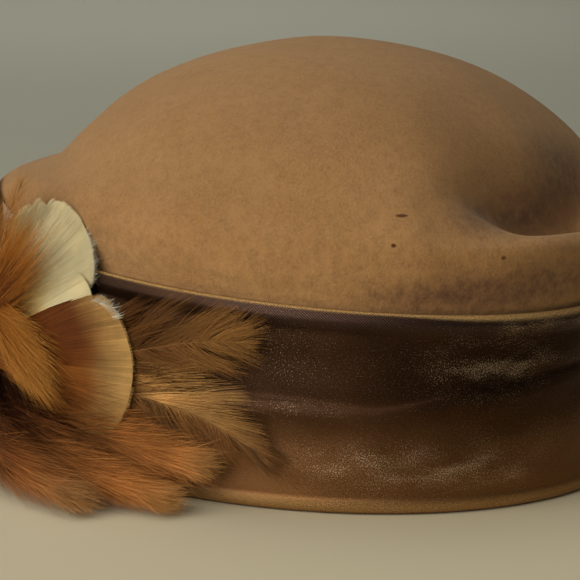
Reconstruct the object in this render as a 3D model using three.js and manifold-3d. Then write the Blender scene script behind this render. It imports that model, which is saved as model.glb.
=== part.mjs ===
// Pillbox hat: a felt crown with a shoulder and a dent at each end, a folded satin band,
// and a feather spray sewn to one side of the band. Millimetres, +Z up, rim on the floor.
// The crown's long axis is X, and every piece is a closed solid of its own.
import * as THREE from 'three';
import Module from 'manifold-3d';

const wasm = await Module();
wasm.setup();

// Hem oval, and how much narrower the band is at its top edge
const HEM_HALF_LENGTH = 105.6;
const HEM_HALF_WIDTH = 85.0;
const BAND_LEAN = 3.8;
// The band's top edge is a slightly tipped plane, higher on the feather side
const BAND_TOP = 56.4;
const BAND_TOP_SLOPE_X = -0.0445;
const BAND_TOP_SLOPE_Y = -0.0309;
const RING_STEPS = 64;

// Felt
const FELT = 2.4;
const CROWN_TOP = 121.2;
const DOME_SHIFT_X = 4.5;
const DOME_SHIFT_Y = 3.8;
// A shoulder stands at each end of the crown and fades out between these angles from the long axis.
// The dent behind the near shoulder is narrower and turned a little, and takes the rings above its height.
const SHOULDERS = {
  near: { full: 14, gone: 52, turn: 0 },
  dent: { full: 4, gone: 38, turn: 5 },
  back: { full: 40, gone: 72, turn: 0 },
};
const DENT_FROM = 80;

// The spray springs from a bound quill bundle at this place on the band
const SPRAY_ANGLE = 240.3;
const SPRAY_HEIGHT = 31;
const BUNDLE_RADIUS = 5.0;
const BUNDLE_IN = 0.9;
const BUNDLE_OUT = 14.6;
const SEAT_GAP = 0.35;
// Feathers lie in layers, one above another
const FIRST_LAYER = 2.1;
const LAYER_STEP = 1.75;
const VANE = 0.8;
const PAD_RISE = 3.0;
const PAD_RISE_RUN = 20;
const CUP = 0.5;
const HACKLE_CUP = 0.2;

// Rings of the crown's outer face from the felt edge to the top. Heights are measured from the floor,
// lengths and widths are half sizes, and the dent and back columns hold where a shoulder is full.
// The tip column is how far a ring follows the band's tipped edge, shift how far it follows the dome.
const CROWN_RINGS = [
  { z: 1.5, width: 82.3, length: 102.9, dentZ: 1.5, dentLength: 102.9, backZ: 1.5, backLength: 102.9, tip: 0, shift: 0 },
  { z: 28.0, width: 80.3, length: 100.9, dentZ: 28.0, dentLength: 100.9, backZ: 28.0, backLength: 100.9, tip: 0.5, shift: 0 },
  { z: 53.0, width: 78.5, length: 99.1, dentZ: 53.0, dentLength: 99.1, backZ: 53.0, backLength: 99.1, tip: 1, shift: 0 },
  { z: 59.0, width: 79.4, length: 99.6, dentZ: 58.5, dentLength: 100.3, backZ: 58.5, backLength: 100.0, tip: 1, shift: 0 },
  { z: 65.5, width: 81.6, length: 99.4, dentZ: 66.0, dentLength: 103.4, backZ: 65.0, backLength: 103.4, tip: 0.8, shift: 0 },
  { z: 72.0, width: 82.6, length: 97.4, dentZ: 72.8, dentLength: 105.2, backZ: 71.5, backLength: 105.2, tip: 0.6, shift: 0.1 },
  { z: 78.0, width: 82.0, length: 93.0, dentZ: 75.2, dentLength: 99.8, backZ: 76.5, backLength: 102.6, tip: 0.4, shift: 0.35 },
  { z: 83.0, width: 80.6, length: 88.0, dentZ: 68.0, dentLength: 92.3, backZ: 79.5, backLength: 96.0, tip: 0.2, shift: 0.7 },
  { z: 88.0, width: 77.7, length: 82.4, dentZ: 68.0, dentLength: 80.5, backZ: 84.0, backLength: 88.0, tip: 0.1, shift: 1 },
  { z: 95.0, width: 71.5, length: 75.2, dentZ: 85.5, dentLength: 75.5, backZ: 93.0, backLength: 78.0, tip: 0, shift: 1 },
  { z: 103.0, width: 61.6, length: 64.9, dentZ: 97.4, dentLength: 68.0, backZ: 102.5, backLength: 65.5, tip: 0, shift: 1 },
  { z: 110.0, width: 49.9, length: 52.5, dentZ: 108.5, dentLength: 53.7, backZ: 110.0, backLength: 52.5, tip: 0, shift: 1 },
  { z: 115.5, width: 36.4, length: 38.3, dentZ: 115.3, dentLength: 38.3, backZ: 115.5, backLength: 38.3, tip: 0, shift: 1 },
  { z: 119.0, width: 22.8, length: 24.0, dentZ: 119.0, dentLength: 24.0, backZ: 119.0, backLength: 24.0, tip: 0, shift: 1 },
  { z: 120.7, width: 11.0, length: 11.6, dentZ: 120.7, dentLength: 11.6, backZ: 120.7, backLength: 11.6, tip: 0, shift: 1 },
];

// Section of the folded band, a closed loop: each row is measured up from the floor,
// from the fold line or from the top edge, and out from the band's leaning oval.
const BAND_SECTION = [
  { from: 'floor', up: 0.0, out: -2.2 },
  { from: 'floor', up: 0.0, out: -0.4 },
  { from: 'floor', up: 0.8, out: 0.0 },
  { from: 'floor', up: 3.6, out: 0.1 },
  { from: 'floor', up: 4.6, out: -0.5 },
  { from: 'floor', up: 6.0, out: 0.0 },
  { from: 'floor', up: 15.0, out: 0.2 },
  { from: 'fold', up: -6.0, out: 0.0 },
  { from: 'fold', up: -1.2, out: 0.5 },
  { from: 'fold', up: 0.2, out: 0.1 },
  { from: 'fold', up: 0.0, out: -0.5 },
  { from: 'fold', up: -2.2, out: -1.0 },
  { from: 'fold', up: -1.4, out: -1.4 },
  { from: 'fold', up: 3.0, out: -0.7 },
  { from: 'top', up: -12.0, out: -0.4 },
  { from: 'top', up: -5.0, out: -0.8 },
  { from: 'top', up: -3.4, out: 0.0 },
  { from: 'top', up: -1.2, out: 0.1 },
  { from: 'top', up: 0.0, out: -0.8 },
  { from: 'top', up: -0.8, out: -2.2 },
  { from: 'top', up: -6.0, out: -2.4 },
  { from: 'floor', up: 28.0, out: -2.4 },
];

// Height of the fold line round the band
const FOLD_LINE = [
  { angle: 0, z: 35.4 },
  { angle: 60, z: 34.0 },
  { angle: 120, z: 31.0 },
  { angle: 180, z: 29.0 },
  { angle: 240, z: 27.5 },
  { angle: 300, z: 29.4 },
  { angle: 314, z: 28.8 },
  { angle: 334, z: 32.5 },
  { angle: 360, z: 35.4 },
];

// Feathers. Stations run from quill to tip: along the band from the bundle, height above the floor,
// half width; plumes also give how far they stand out from the band. The lean is how far the
// locks are swept to the tip, the notch how deep the gaps between them are cut.
const CREAM = { color: 0xb1a476, roughness: 0.75 };
const TAN = { color: 0x9a6a38, roughness: 0.7 };
const BRONZE = { color: 0x74502a, roughness: 0.6 };
const RUST = { color: 0x86532a, roughness: 0.8 };

const PADS = [
  { name: 'pad_cream_back', look: CREAM, layer: 3, stations: [
    { along: 2.8, height: 35.9, half: 1.6 },
    { along: 12, height: 50, half: 9 },
    { along: 22, height: 65, half: 15 },
    { along: 28, height: 75, half: 7 },
  ] },
  { name: 'pad_cream_low', look: CREAM, layer: 4, stations: [
    { along: 4.9, height: 33.4, half: 1.4 },
    { along: 20, height: 40.5, half: 6 },
    { along: 36, height: 47.5, half: 8.5 },
    { along: 51, height: 52.5, half: 4 },
  ] },
  { name: 'pad_cream_front', look: CREAM, layer: 5, stations: [
    { along: 4.2, height: 34.6, half: 1.6 },
    { along: 20, height: 48, half: 9 },
    { along: 39, height: 63, half: 14 },
    { along: 53, height: 75.5, half: 7 },
  ] },
  { name: 'pad_tan', look: TAN, layer: 6, stations: [
    { along: 5.6, height: 31, half: 1.8 },
    { along: 22, height: 33, half: 9 },
    { along: 42, height: 35, half: 15.5 },
    { along: 58, height: 34.5, half: 18 },
    { along: 70, height: 32.5, half: 11 },
  ] },
  { name: 'pad_cream_left', look: CREAM, layer: 3, stations: [
    { along: -3.7, height: 35.2, half: 1.6 },
    { along: -14, height: 48, half: 9 },
    { along: -27, height: 62, half: 14 },
    { along: -36, height: 72, half: 7 },
  ] },
  { name: 'pad_tan_left', look: TAN, layer: 4, stations: [
    { along: -5.6, height: 31, half: 1.8 },
    { along: -22, height: 32, half: 9 },
    { along: -42, height: 33, half: 14 },
    { along: -58, height: 33, half: 8 },
  ] },
];

const PLUMES = [
  { name: 'hackle_upper', look: BRONZE, locks: 7, notch: 0.3, lean: 0.9, cup: HACKLE_CUP, stations: [
    { along: 5.4, height: 32.4, out: 3.9, half: 1.2 },
    { along: 30, height: 35, out: 3.9, half: 5 },
    { along: 58, height: 39, out: 3.9, half: 8.5 },
    { along: 82, height: 46, out: 3.4, half: 10 },
    { along: 100, height: 47.5, out: 2.8, half: 7 },
  ] },
  { name: 'hackle_lower', look: BRONZE, locks: 7, notch: 0.3, lean: 0.9, cup: HACKLE_CUP, stations: [
    { along: 5.4, height: 29.8, out: 2.1, half: 1.2 },
    { along: 30, height: 29.3, out: 2.1, half: 4.5 },
    { along: 58, height: 29.3, out: 2.1, half: 8 },
    { along: 80, height: 27, out: 2.1, half: 9.5 },
    { along: 94, height: 21, out: 2.1, half: 8 },
    { along: 103, height: 15.5, out: 2.1, half: 3 },
  ] },
  { name: 'hackle_rising', look: BRONZE, locks: 6, notch: 0.35, lean: 0.9, stations: [
    { along: 0.4, height: 36.5, out: 5.2, half: 1.2 },
    { along: 1, height: 52, out: 5.6, half: 4 },
    { along: 6, height: 70, out: 7.0, half: 6.5 },
    { along: 14, height: 86, out: 8.5, half: 3 },
  ] },
  { name: 'hackle_left', look: BRONZE, locks: 7, notch: 0.3, lean: 0.9, cup: HACKLE_CUP, stations: [
    { along: -5.4, height: 32.2, out: 2.1, half: 1.2 },
    { along: -30, height: 36, out: 2.1, half: 6 },
    { along: -56, height: 40, out: 2.1, half: 9 },
    { along: -76, height: 43, out: 2.1, half: 5 },
  ] },
  { name: 'plume_right', look: RUST, locks: 8, notch: 0.4, lean: 0.8, stations: [
    { along: 4.8, height: 28.3, out: 5.6, half: 1.2 },
    { along: 20, height: 21, out: 7.5, half: 6 },
    { along: 42, height: 16, out: 9.5, half: 10.5 },
    { along: 66, height: 15, out: 8.5, half: 10.5 },
    { along: 91, height: 12.5, out: 6, half: 3 },
  ] },
  { name: 'plume_low', look: RUST, locks: 8, notch: 0.4, lean: 0.8, stations: [
    { along: 3.6, height: 27.1, out: 7.4, half: 1.2 },
    { along: 16, height: 17.5, out: 12.5, half: 6 },
    { along: 38, height: 11.5, out: 18, half: 8.5 },
    { along: 64, height: 8, out: 19, half: 6 },
    { along: 90, height: 4.5, out: 15.5, half: 2 },
  ] },
  { name: 'plume_front', look: RUST, locks: 8, notch: 0.4, lean: 0.8, stations: [
    { along: 1.6, height: 25.9, out: 9.1, half: 1.2 },
    { along: 9, height: 18, out: 17, half: 6 },
    { along: 24, height: 12, out: 24, half: 9 },
    { along: 46, height: 8.5, out: 28, half: 6.5 },
    { along: 66, height: 4.5, out: 28, half: 2 },
  ] },
  { name: 'plume_left', look: RUST, locks: 8, notch: 0.4, lean: 0.8, stations: [
    { along: -3.8, height: 27.3, out: 5.6, half: 1.2 },
    { along: -16, height: 19, out: 10, half: 6 },
    { along: -36, height: 12.5, out: 15, half: 9 },
    { along: -56, height: 9, out: 16, half: 6 },
    { along: -72, height: 6.5, out: 14, half: 2 },
  ] },
];

// Tips of the tuft's locks, fanned from its head
const TUFT_LOCKS = [
  { along: 47, height: 22.5, out: 20 },
  { along: 43, height: 29, out: 21 },
  { along: 35, height: 37, out: 21 },
  { along: 27, height: 45, out: 20 },
  { along: 8, height: 51, out: 19 },
  { along: -16, height: 45, out: 18.5 },
  { along: -24, height: 31, out: 18.5 },
  { along: -14, height: 17, out: 19.5 },
  { along: 4, height: 13, out: 23 },
  { along: 34, height: 24, out: 22 },
];

const rad = THREE.MathUtils.degToRad;
const lerp = THREE.MathUtils.lerp;
const smooth = THREE.MathUtils.smoothstep;

function oval(angle, height, out) {
  const lean = BAND_LEAN * THREE.MathUtils.clamp(height / BAND_TOP, 0, 1);
  const x = (HEM_HALF_LENGTH - lean + out) * Math.cos(angle);
  const y = (HEM_HALF_WIDTH - lean + out) * Math.sin(angle);
  return new THREE.Vector3(x, y, height);
}

function bandTop(angle) {
  const x = (HEM_HALF_LENGTH - BAND_LEAN) * Math.cos(angle);
  const y = (HEM_HALF_WIDTH - BAND_LEAN) * Math.sin(angle);
  return BAND_TOP + BAND_TOP_SLOPE_X * x + BAND_TOP_SLOPE_Y * y;
}

function foldHeight(angle) {
  const turn = THREE.MathUtils.euclideanModulo(THREE.MathUtils.radToDeg(angle), 360);
  const next = FOLD_LINE.findIndex((row) => row.angle > turn);
  const a = FOLD_LINE[next - 1];
  const b = FOLD_LINE[next];
  return lerp(a.z, b.z, smooth(turn, a.angle, b.angle));
}

// Angle on the band's oval a given length along it from the bundle
function angleAt(along) {
  const steps = Math.max(1, Math.ceil(Math.abs(along)));
  let angle = rad(SPRAY_ANGLE);
  for (let i = 0; i < steps; i += 1) {
    const run = Math.hypot(
      (HEM_HALF_LENGTH - BAND_LEAN) * Math.sin(angle),
      (HEM_HALF_WIDTH - BAND_LEAN) * Math.cos(angle),
    );
    angle += along / steps / run;
  }
  return angle;
}

function onBand(along, height, out) {
  return oval(angleAt(along), height, out);
}

// Closed mesh from points and triangles, turned so that its faces point out
function closedMesh(points, triangles) {
  let volume = 0;
  const cross = new THREE.Vector3();
  for (const [a, b, c] of triangles) {
    volume += points[a].dot(cross.crossVectors(points[b], points[c])) / 6;
  }
  const faces = volume > 0 ? triangles : triangles.map(([a, b, c]) => [a, c, b]);
  const geometry = new THREE.BufferGeometry();
  geometry.setAttribute('position', new THREE.Float32BufferAttribute(points.flatMap((p) => p.toArray()), 3));
  geometry.setIndex(faces.flat());
  geometry.computeVertexNormals();
  return geometry;
}

function quad(list, a, b, c, d) {
  list.push([a, b, c], [a, c, d]);
}

// Crown
function crownPoint(ring, angle) {
  const atDent = Math.cos(angle) > 0;
  const nearEnd = ring.z > DENT_FROM ? SHOULDERS.dent : SHOULDERS.near;
  const { full, gone, turn } = atDent ? nearEnd : SHOULDERS.back;
  const turned = angle - THREE.MathUtils.degToRad(turn);
  const off = THREE.MathUtils.radToDeg(Math.atan2(Math.abs(Math.sin(turned)), Math.abs(Math.cos(turned))));
  const end = 1 - smooth(off, full, gone);
  const length = lerp(ring.length, atDent ? ring.dentLength : ring.backLength, end);
  const height = lerp(ring.z, atDent ? ring.dentZ : ring.backZ, end);
  return new THREE.Vector3(
    length * Math.cos(angle) + DOME_SHIFT_X * ring.shift,
    ring.width * Math.sin(angle) + DOME_SHIFT_Y * ring.shift,
    height + (bandTop(angle) - BAND_TOP) * ring.tip,
  );
}

function crownGeometry() {
  const rings = CROWN_RINGS.map((ring) => {
    const row = [];
    for (let i = 0; i < RING_STEPS; i += 1) row.push(crownPoint(ring, (2 * Math.PI * i) / RING_STEPS));
    return row;
  });
  const top = new THREE.Vector3(DOME_SHIFT_X, DOME_SHIFT_Y, CROWN_TOP);
  const inner = rings.map((row, k) => row.map((p, i) => {
    const round = new THREE.Vector3().subVectors(
      row[(i + 1) % RING_STEPS],
      row[(i + RING_STEPS - 1) % RING_STEPS],
    );
    const below = rings[Math.max(k - 1, 0)][i];
    const above = k + 1 < rings.length ? rings[k + 1][i] : top;
    const rise = new THREE.Vector3().subVectors(above, below);
    const outward = round.cross(rise).normalize();
    const q = p.clone().addScaledVector(outward, -FELT);
    if (k === 0) q.z = p.z;
    return q;
  }));
  const points = [...rings.flat(), ...inner.flat(), top, top.clone().setZ(CROWN_TOP - FELT)];
  const triangles = [];
  const innerStart = rings.length * RING_STEPS;
  const topIndex = points.length - 2;
  const last = rings.length - 1;
  for (let i = 0; i < RING_STEPS; i += 1) {
    const j = (i + 1) % RING_STEPS;
    for (let k = 0; k < last; k += 1) {
      const a = k * RING_STEPS;
      const b = a + RING_STEPS;
      quad(triangles, a + i, a + j, b + j, b + i);
      quad(triangles, innerStart + a + j, innerStart + a + i, innerStart + b + i, innerStart + b + j);
    }
    const edge = last * RING_STEPS;
    triangles.push([edge + i, edge + j, topIndex]);
    triangles.push([innerStart + edge + j, innerStart + edge + i, topIndex + 1]);
    quad(triangles, i, innerStart + i, innerStart + j, j);
  }
  return closedMesh(points, triangles);
}

// Band
function bandGeometry() {
  const points = [];
  const triangles = [];
  const rows = BAND_SECTION.length;
  for (let i = 0; i < RING_STEPS; i += 1) {
    const angle = (2 * Math.PI * i) / RING_STEPS;
    const bases = { floor: 0, fold: foldHeight(angle), top: bandTop(angle) };
    for (const row of BAND_SECTION) points.push(oval(angle, bases[row.from] + row.up, row.out));
  }
  for (let i = 0; i < RING_STEPS; i += 1) {
    const a = i * rows;
    const b = ((i + 1) % RING_STEPS) * rows;
    for (let k = 0; k < rows; k += 1) {
      const m = (k + 1) % rows;
      quad(triangles, a + k, b + k, b + m, a + m);
    }
  }
  return closedMesh(points, triangles);
}

// A vane is a thin curved plate laid along its spine, with leaning edges that may be cut into locks
const ACROSS = [-1, -0.5, 0, 0.5, 1];

function vaneGeometry({ stations, locks = 0, notch = 0, lean = 0, cup = CUP, outAt }) {
  const spine = new THREE.CatmullRomCurve3(
    stations.map((row) => new THREE.Vector3(row.along, row.height, row.out ?? 0)),
  );
  const count = locks > 0 ? 2 * locks : 10;
  const points = [];
  const triangles = [];
  for (let i = 0; i <= count; i += 1) {
    const t = i / count;
    const centre = spine.getPoint(t);
    const ahead = spine.getTangent(t).setZ(0).normalize();
    const place = t * (stations.length - 1);
    const row = Math.min(Math.floor(place), stations.length - 2);
    let half = lerp(stations[row].half, stations[row + 1].half, smooth(place - row, 0, 1));
    if (locks > 0 && i % 2 === 0 && i < count && i > 0) half *= 1 - notch;
    for (const side of ACROSS) {
      const run = Math.abs(side) * lean * half * Math.min(1, 4 * (1 - t));
      const along = centre.x - ahead.y * side * half + ahead.x * run;
      const height = centre.y + ahead.x * side * half + ahead.y * run;
      const out = (outAt ? outAt(along, height) : centre.z) - cup * side * side;
      points.push(onBand(along, height, out), onBand(along, height, out - VANE));
    }
  }
  const wide = 2 * ACROSS.length;
  const tail = 2 * (ACROSS.length - 1);
  for (let i = 0; i < count; i += 1) {
    const a = i * wide;
    const b = a + wide;
    for (let k = 0; k < tail; k += 2) {
      quad(triangles, a + k, b + k, b + k + 2, a + k + 2);
      quad(triangles, a + k + 3, b + k + 3, b + k + 1, a + k + 1);
    }
    quad(triangles, a + 1, b + 1, b, a);
    quad(triangles, a + tail, b + tail, b + tail + 1, a + tail + 1);
  }
  const end = count * wide;
  for (let k = 0; k < tail; k += 2) {
    quad(triangles, k, k + 2, k + 3, k + 1);
    quad(triangles, end + k + 1, end + k + 3, end + k + 2, end + k);
  }
  return closedMesh(points, triangles);
}

function padGeometry(pad) {
  const base = FIRST_LAYER + LAYER_STEP * pad.layer;
  const outAt = (along, height) => {
    const reach = Math.hypot(along, height - SPRAY_HEIGHT);
    return base + PAD_RISE * (1 - Math.exp(-reach / PAD_RISE_RUN));
  };
  return vaneGeometry({ stations: pad.stations, outAt });
}

// Bound quill bundle: a short round stub standing out from the band
const BUNDLE_SIDES = 20;

function stubGeometry(radius, near, far) {
  const points = [];
  const triangles = [];
  for (const out of [near, far]) {
    for (let i = 0; i < BUNDLE_SIDES; i += 1) {
      const turn = (2 * Math.PI * i) / BUNDLE_SIDES;
      points.push(onBand(radius * Math.cos(turn), SPRAY_HEIGHT + radius * Math.sin(turn), out));
    }
    points.push(onBand(0, SPRAY_HEIGHT, out));
  }
  const far0 = BUNDLE_SIDES + 1;
  for (let i = 0; i < BUNDLE_SIDES; i += 1) {
    const j = (i + 1) % BUNDLE_SIDES;
    quad(triangles, i, j, far0 + j, far0 + i);
    triangles.push([j, i, BUNDLE_SIDES], [far0 + i, far0 + j, far0 + BUNDLE_SIDES]);
  }
  return closedMesh(points, triangles);
}

function solidOf(geometry) {
  const vertProperties = new Float32Array(geometry.getAttribute('position').array);
  const triVerts = new Uint32Array(geometry.getIndex().array);
  return new wasm.Manifold(new wasm.Mesh({ numProp: 3, vertProperties, triVerts }));
}

function geometryOf(solid) {
  const mesh = solid.getMesh();
  const geometry = new THREE.BufferGeometry();
  geometry.setAttribute('position', new THREE.BufferAttribute(mesh.vertProperties, 3));
  geometry.setIndex(new THREE.BufferAttribute(mesh.triVerts, 1));
  geometry.computeVertexNormals();
  return geometry;
}

// Tuft: tapering locks fused to a round head on the bundle's end
const TUFT_HEAD_RADIUS = 6.0;
const TUFT_HEAD = 2.2;
const LOCK_HALF = 2.2;
const LOCK_STEPS = 4;

function tuftGeometry() {
  const near = BUNDLE_OUT + SEAT_GAP;
  const middle = near + TUFT_HEAD / 2;
  let tuft = solidOf(stubGeometry(TUFT_HEAD_RADIUS, near, near + TUFT_HEAD));
  for (const tip of TUFT_LOCKS) {
    const turn = Math.atan2(tip.height - SPRAY_HEIGHT, tip.along);
    const points = [];
    const triangles = [];
    for (let i = 0; i <= LOCK_STEPS; i += 1) {
      const t = i / LOCK_STEPS;
      const along = lerp(1.5 * Math.cos(turn), tip.along, t);
      const height = lerp(SPRAY_HEIGHT + 1.5 * Math.sin(turn), tip.height, t);
      const out = lerp(middle, tip.out, Math.sin((t * Math.PI) / 2));
      const half = LOCK_HALF * (1 - 0.7 * t);
      for (const [side, lift] of [[-1, -0.5], [1, -0.5], [1, 0.5], [-1, 0.5]]) {
        points.push(onBand(
          along - Math.sin(turn) * side * half,
          height + Math.cos(turn) * side * half,
          out + lift * 1.1,
        ));
      }
    }
    for (let i = 0; i < LOCK_STEPS; i += 1) {
      for (let k = 0; k < 4; k += 1) {
        const m = (k + 1) % 4;
        quad(triangles, 4 * i + k, 4 * i + m, 4 * i + 4 + m, 4 * i + 4 + k);
      }
    }
    const end = 4 * LOCK_STEPS;
    quad(triangles, 3, 2, 1, 0);
    quad(triangles, end, end + 1, end + 2, end + 3);
    tuft = tuft.add(solidOf(closedMesh(points, triangles)));
  }
  return geometryOf(tuft);
}

// Assembly
const hat = new THREE.Group();

function place(name, geometry, look) {
  const mesh = new THREE.Mesh(geometry, new THREE.MeshStandardMaterial({ metalness: 0, ...look }));
  mesh.name = name;
  hat.add(mesh);
}

place('crown', crownGeometry(), { color: 0x986f45, roughness: 0.95 });
place('band', bandGeometry(), { color: 0x4a301b, roughness: 0.45, metalness: 0.5 });
place('quill_bundle', stubGeometry(BUNDLE_RADIUS, BUNDLE_IN, BUNDLE_OUT), { color: 0x5a3a20, roughness: 0.8 });
for (const pad of PADS) place(pad.name, padGeometry(pad), pad.look);
for (const plume of PLUMES) place(plume.name, vaneGeometry(plume), plume.look);
place('tuft_orange', tuftGeometry(), { color: 0x8a5524, roughness: 0.8 });

// The origin is under the middle of the whole hat, on the floor
const box = new THREE.Box3().setFromObject(hat);
const middle = box.getCenter(new THREE.Vector3());
hat.position.set(-middle.x, -middle.y, -box.min.z);

export default hat;
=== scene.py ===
# %% [markdown]
# A pillbox hat: a felt crown, a satin band laid in two tiers, and a spray of feathers on one side.
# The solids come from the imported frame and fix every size. This lesson dresses them: each soft solid
# is replaced by a finer mesh on the same rules, and every surface gets a material made from nodes.

# %% Load the frame
from collections import namedtuple

import bpy
import numpy as np
from mathutils import Matrix, Vector


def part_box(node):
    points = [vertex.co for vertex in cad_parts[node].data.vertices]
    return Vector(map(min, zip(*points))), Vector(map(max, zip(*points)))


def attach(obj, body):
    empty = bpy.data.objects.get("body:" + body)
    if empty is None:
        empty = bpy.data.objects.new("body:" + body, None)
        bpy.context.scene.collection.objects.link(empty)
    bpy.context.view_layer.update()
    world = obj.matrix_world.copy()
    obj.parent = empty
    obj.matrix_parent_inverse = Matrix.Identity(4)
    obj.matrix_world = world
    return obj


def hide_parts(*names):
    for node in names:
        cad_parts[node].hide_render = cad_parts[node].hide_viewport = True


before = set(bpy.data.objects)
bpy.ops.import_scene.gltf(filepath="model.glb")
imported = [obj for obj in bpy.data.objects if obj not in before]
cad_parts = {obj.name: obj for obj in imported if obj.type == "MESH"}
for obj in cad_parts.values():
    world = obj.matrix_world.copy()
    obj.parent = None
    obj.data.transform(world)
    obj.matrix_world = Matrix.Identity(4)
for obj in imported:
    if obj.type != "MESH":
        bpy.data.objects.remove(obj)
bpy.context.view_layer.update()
MM = 0.001
band_low, band_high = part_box("band")
HAT_AXIS = np.array([(band_low[i] + band_high[i]) / 2 for i in range(2)] + [0.0])

# %% [markdown]
# The camera comes first, because every look is judged through it. The photograph was taken from a low
# place in front of the dented end, with a long lens. The numbers are a fit of the hem, the band's top
# edge and the dome's outline, in millimetres and radians from the hat's own axis.

# %% Camera
VIEW_TURN = np.radians(42.6)
VIEW_RISE = 0.2
VIEW_DISTANCE = 600.0
VIEW_LENS = 118.9
AIM_RIGHT = -5.45
AIM_HEIGHT = 42.7


def to_hat(x, y, z):
    """Turns a direction seen in the picture (right, away, up) into the hat's own frame."""
    c, s = np.cos(VIEW_TURN), np.sin(VIEW_TURN)
    return np.array([x * c - y * s, x * s + y * c, z])


def add_object(name, data):
    """A new object at the origin, linked to the scene."""
    made = bpy.data.objects.new(name, data)
    bpy.context.scene.collection.objects.link(made)
    return made


view_right = to_hat(1, 0, 0)
view_ahead = to_hat(0, np.cos(VIEW_RISE), -np.sin(VIEW_RISE))
view_up = np.cross(view_right, view_ahead)
view_from = HAT_AXIS + MM * (to_hat(AIM_RIGHT, 0, AIM_HEIGHT) - VIEW_DISTANCE * view_ahead)

camera_data = bpy.data.cameras.new("photo_camera")
camera_data.lens = VIEW_LENS
camera_data.sensor_width = 36.0
camera_data.clip_start = 0.01
camera = add_object("photo_camera", camera_data)
turn = Matrix((view_right, view_up, -view_ahead)).transposed().to_4x4()
camera.matrix_world = Matrix.Translation(Vector(view_from)) @ turn
bpy.context.scene.camera = camera
print("camera at", view_from.round(3))

# %% [markdown]
# Shader and geometry trees are both graphs of nodes, and long graphs are hard to read as lists of links.
# So one class adds nodes, and another wraps a socket so that sums can be written as Python expressions:
# 1 - mask adds a Math node, and a vector times a number adds a Vector Math node.


# %% Nodes as expressions
class Wire:
    """A socket that can be used in a Python expression."""

    def __init__(self, graph, socket):
        self.graph = graph
        self.socket = socket

    def is_vector(self):
        return self.socket.type in {"VECTOR", "RGBA"}

    def __add__(self, other):
        return self.graph.maths("ADD", self, other)

    def __radd__(self, other):
        return self.graph.maths("ADD", other, self)

    def __sub__(self, other):
        return self.graph.maths("SUBTRACT", self, other)

    def __rsub__(self, other):
        return self.graph.maths("SUBTRACT", other, self)

    def __mul__(self, other):
        return self.graph.maths("MULTIPLY", self, other)

    def __rmul__(self, other):
        return self.graph.maths("MULTIPLY", other, self)

    def step(self, low, high):
        """0 below low, 1 above high, smooth between."""
        ends = {1: low, 2: high, 3: 0.0, 4: 1.0}
        return self.graph.make("ShaderNodeMapRange", {"interpolation_type": "SMOOTHSTEP"}, {0: self, **ends})


class Graph:
    """Adds nodes to one tree. Every node but a group's two ends comes from make()."""

    def __init__(self, tree):
        self.tree = tree

    def join(self, value, socket):
        """Links a wire to a socket, or sets the socket where the value is the same all over."""
        if isinstance(value, Wire):
            self.tree.links.new(value.socket, socket)
        else:
            socket.default_value = value

    def make(self, kind, settings=None, inputs=None, output=0):
        """Adds a node, sets its settings, then gives its inputs their values or links."""
        node = self.tree.nodes.new(kind)
        for name, value in (settings or {}).items():
            setattr(node, name, value)
        for key, value in (inputs or {}).items():
            self.join(value, node.inputs[key])
        return Wire(self, node.outputs[output])

    def maths(self, operation, a, b):
        """A Math node for two numbers, or a Vector Math node where either is a vector or a colour."""
        vectors = [isinstance(x, Wire) and x.is_vector() or isinstance(x, tuple) for x in (a, b)]
        if not any(vectors):
            return self.make("ShaderNodeMath", {"operation": operation}, {0: a, 1: b})
        if operation == "MULTIPLY" and not all(vectors):
            vector, number = (a, b) if vectors[0] else (b, a)
            return self.make("ShaderNodeVectorMath", {"operation": "SCALE"}, {0: vector, "Scale": number})
        return self.make("ShaderNodeVectorMath", {"operation": operation}, {0: a, 1: b})

    def blend(self, share, a, b):
        """Colour a where share is 0, colour b where it is 1."""
        colours = {6: a if isinstance(a, Wire) else (*a, 1.0), 7: b if isinstance(b, Wire) else (*b, 1.0)}
        return self.make("ShaderNodeMix", {"data_type": "RGBA"}, {0: share, **colours}, output=2)

    def place(self):
        """Object coordinates: metres in the hat's own frame."""
        return self.make("ShaderNodeTexCoord", output="Object")

    def part(self, vector, axis):
        """One number of a vector: 0, 1 or 2 for x, y or z."""
        return self.make("ShaderNodeSeparateXYZ", None, {0: vector}, output=axis)

    def mark(self, name):
        """A number that is stored on the mesh's points."""
        return self.make("ShaderNodeAttribute", {"attribute_name": name}, output="Fac")

    def noise(self, place, scale, detail=2.0, rough=0.5):
        """Smooth noise with a mean of about 0.5."""
        values = {"Vector": place, "Scale": scale, "Detail": detail, "Roughness": rough}
        return self.make("ShaderNodeTexNoise", {"noise_dimensions": "3D"}, values)

    def bump(self, height, strength, distance):
        """A normal that is tilted by a height; distance is its depth in metres."""
        values = {"Strength": strength, "Distance": distance, "Height": height}
        return self.make("ShaderNodeBump", None, values)

    def spot(self, place, patch):
        """Distance from the middle of a patch, 1 at its edge to the side or up."""
        centre = tuple(HAT_AXIS + MM * np.array([patch.x, patch.y, patch.z]))
        shape = (1 / (patch.wide * MM), 1 / (patch.wide * MM), 1 / (patch.tall * MM))
        scaled = (place - centre) * shape
        return self.make("ShaderNodeVectorMath", {"operation": "LENGTH"}, {0: scaled}, output="Value")


def material(name):
    """A new material with its Principled shader, and the graph to dress it."""
    made = bpy.data.materials.new(name)
    made.use_nodes = True
    return made, Graph(made.node_tree), made.node_tree.nodes["Principled BSDF"]


def feed(graph, shader, **sockets):
    """Gives the shader's sockets their wires or values; an underscore in a name stands for a space."""
    for name, value in sockets.items():
        graph.join(value, shader.inputs[name.replace("_", " ")])


print("node helpers ready")

# %% [markdown]
# Every piece is measured from the band's leaning oval: how far round, how high, how far out.
# The same rule places the band, the felt and the feathers, so nothing has to be fitted afterwards.

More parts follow.
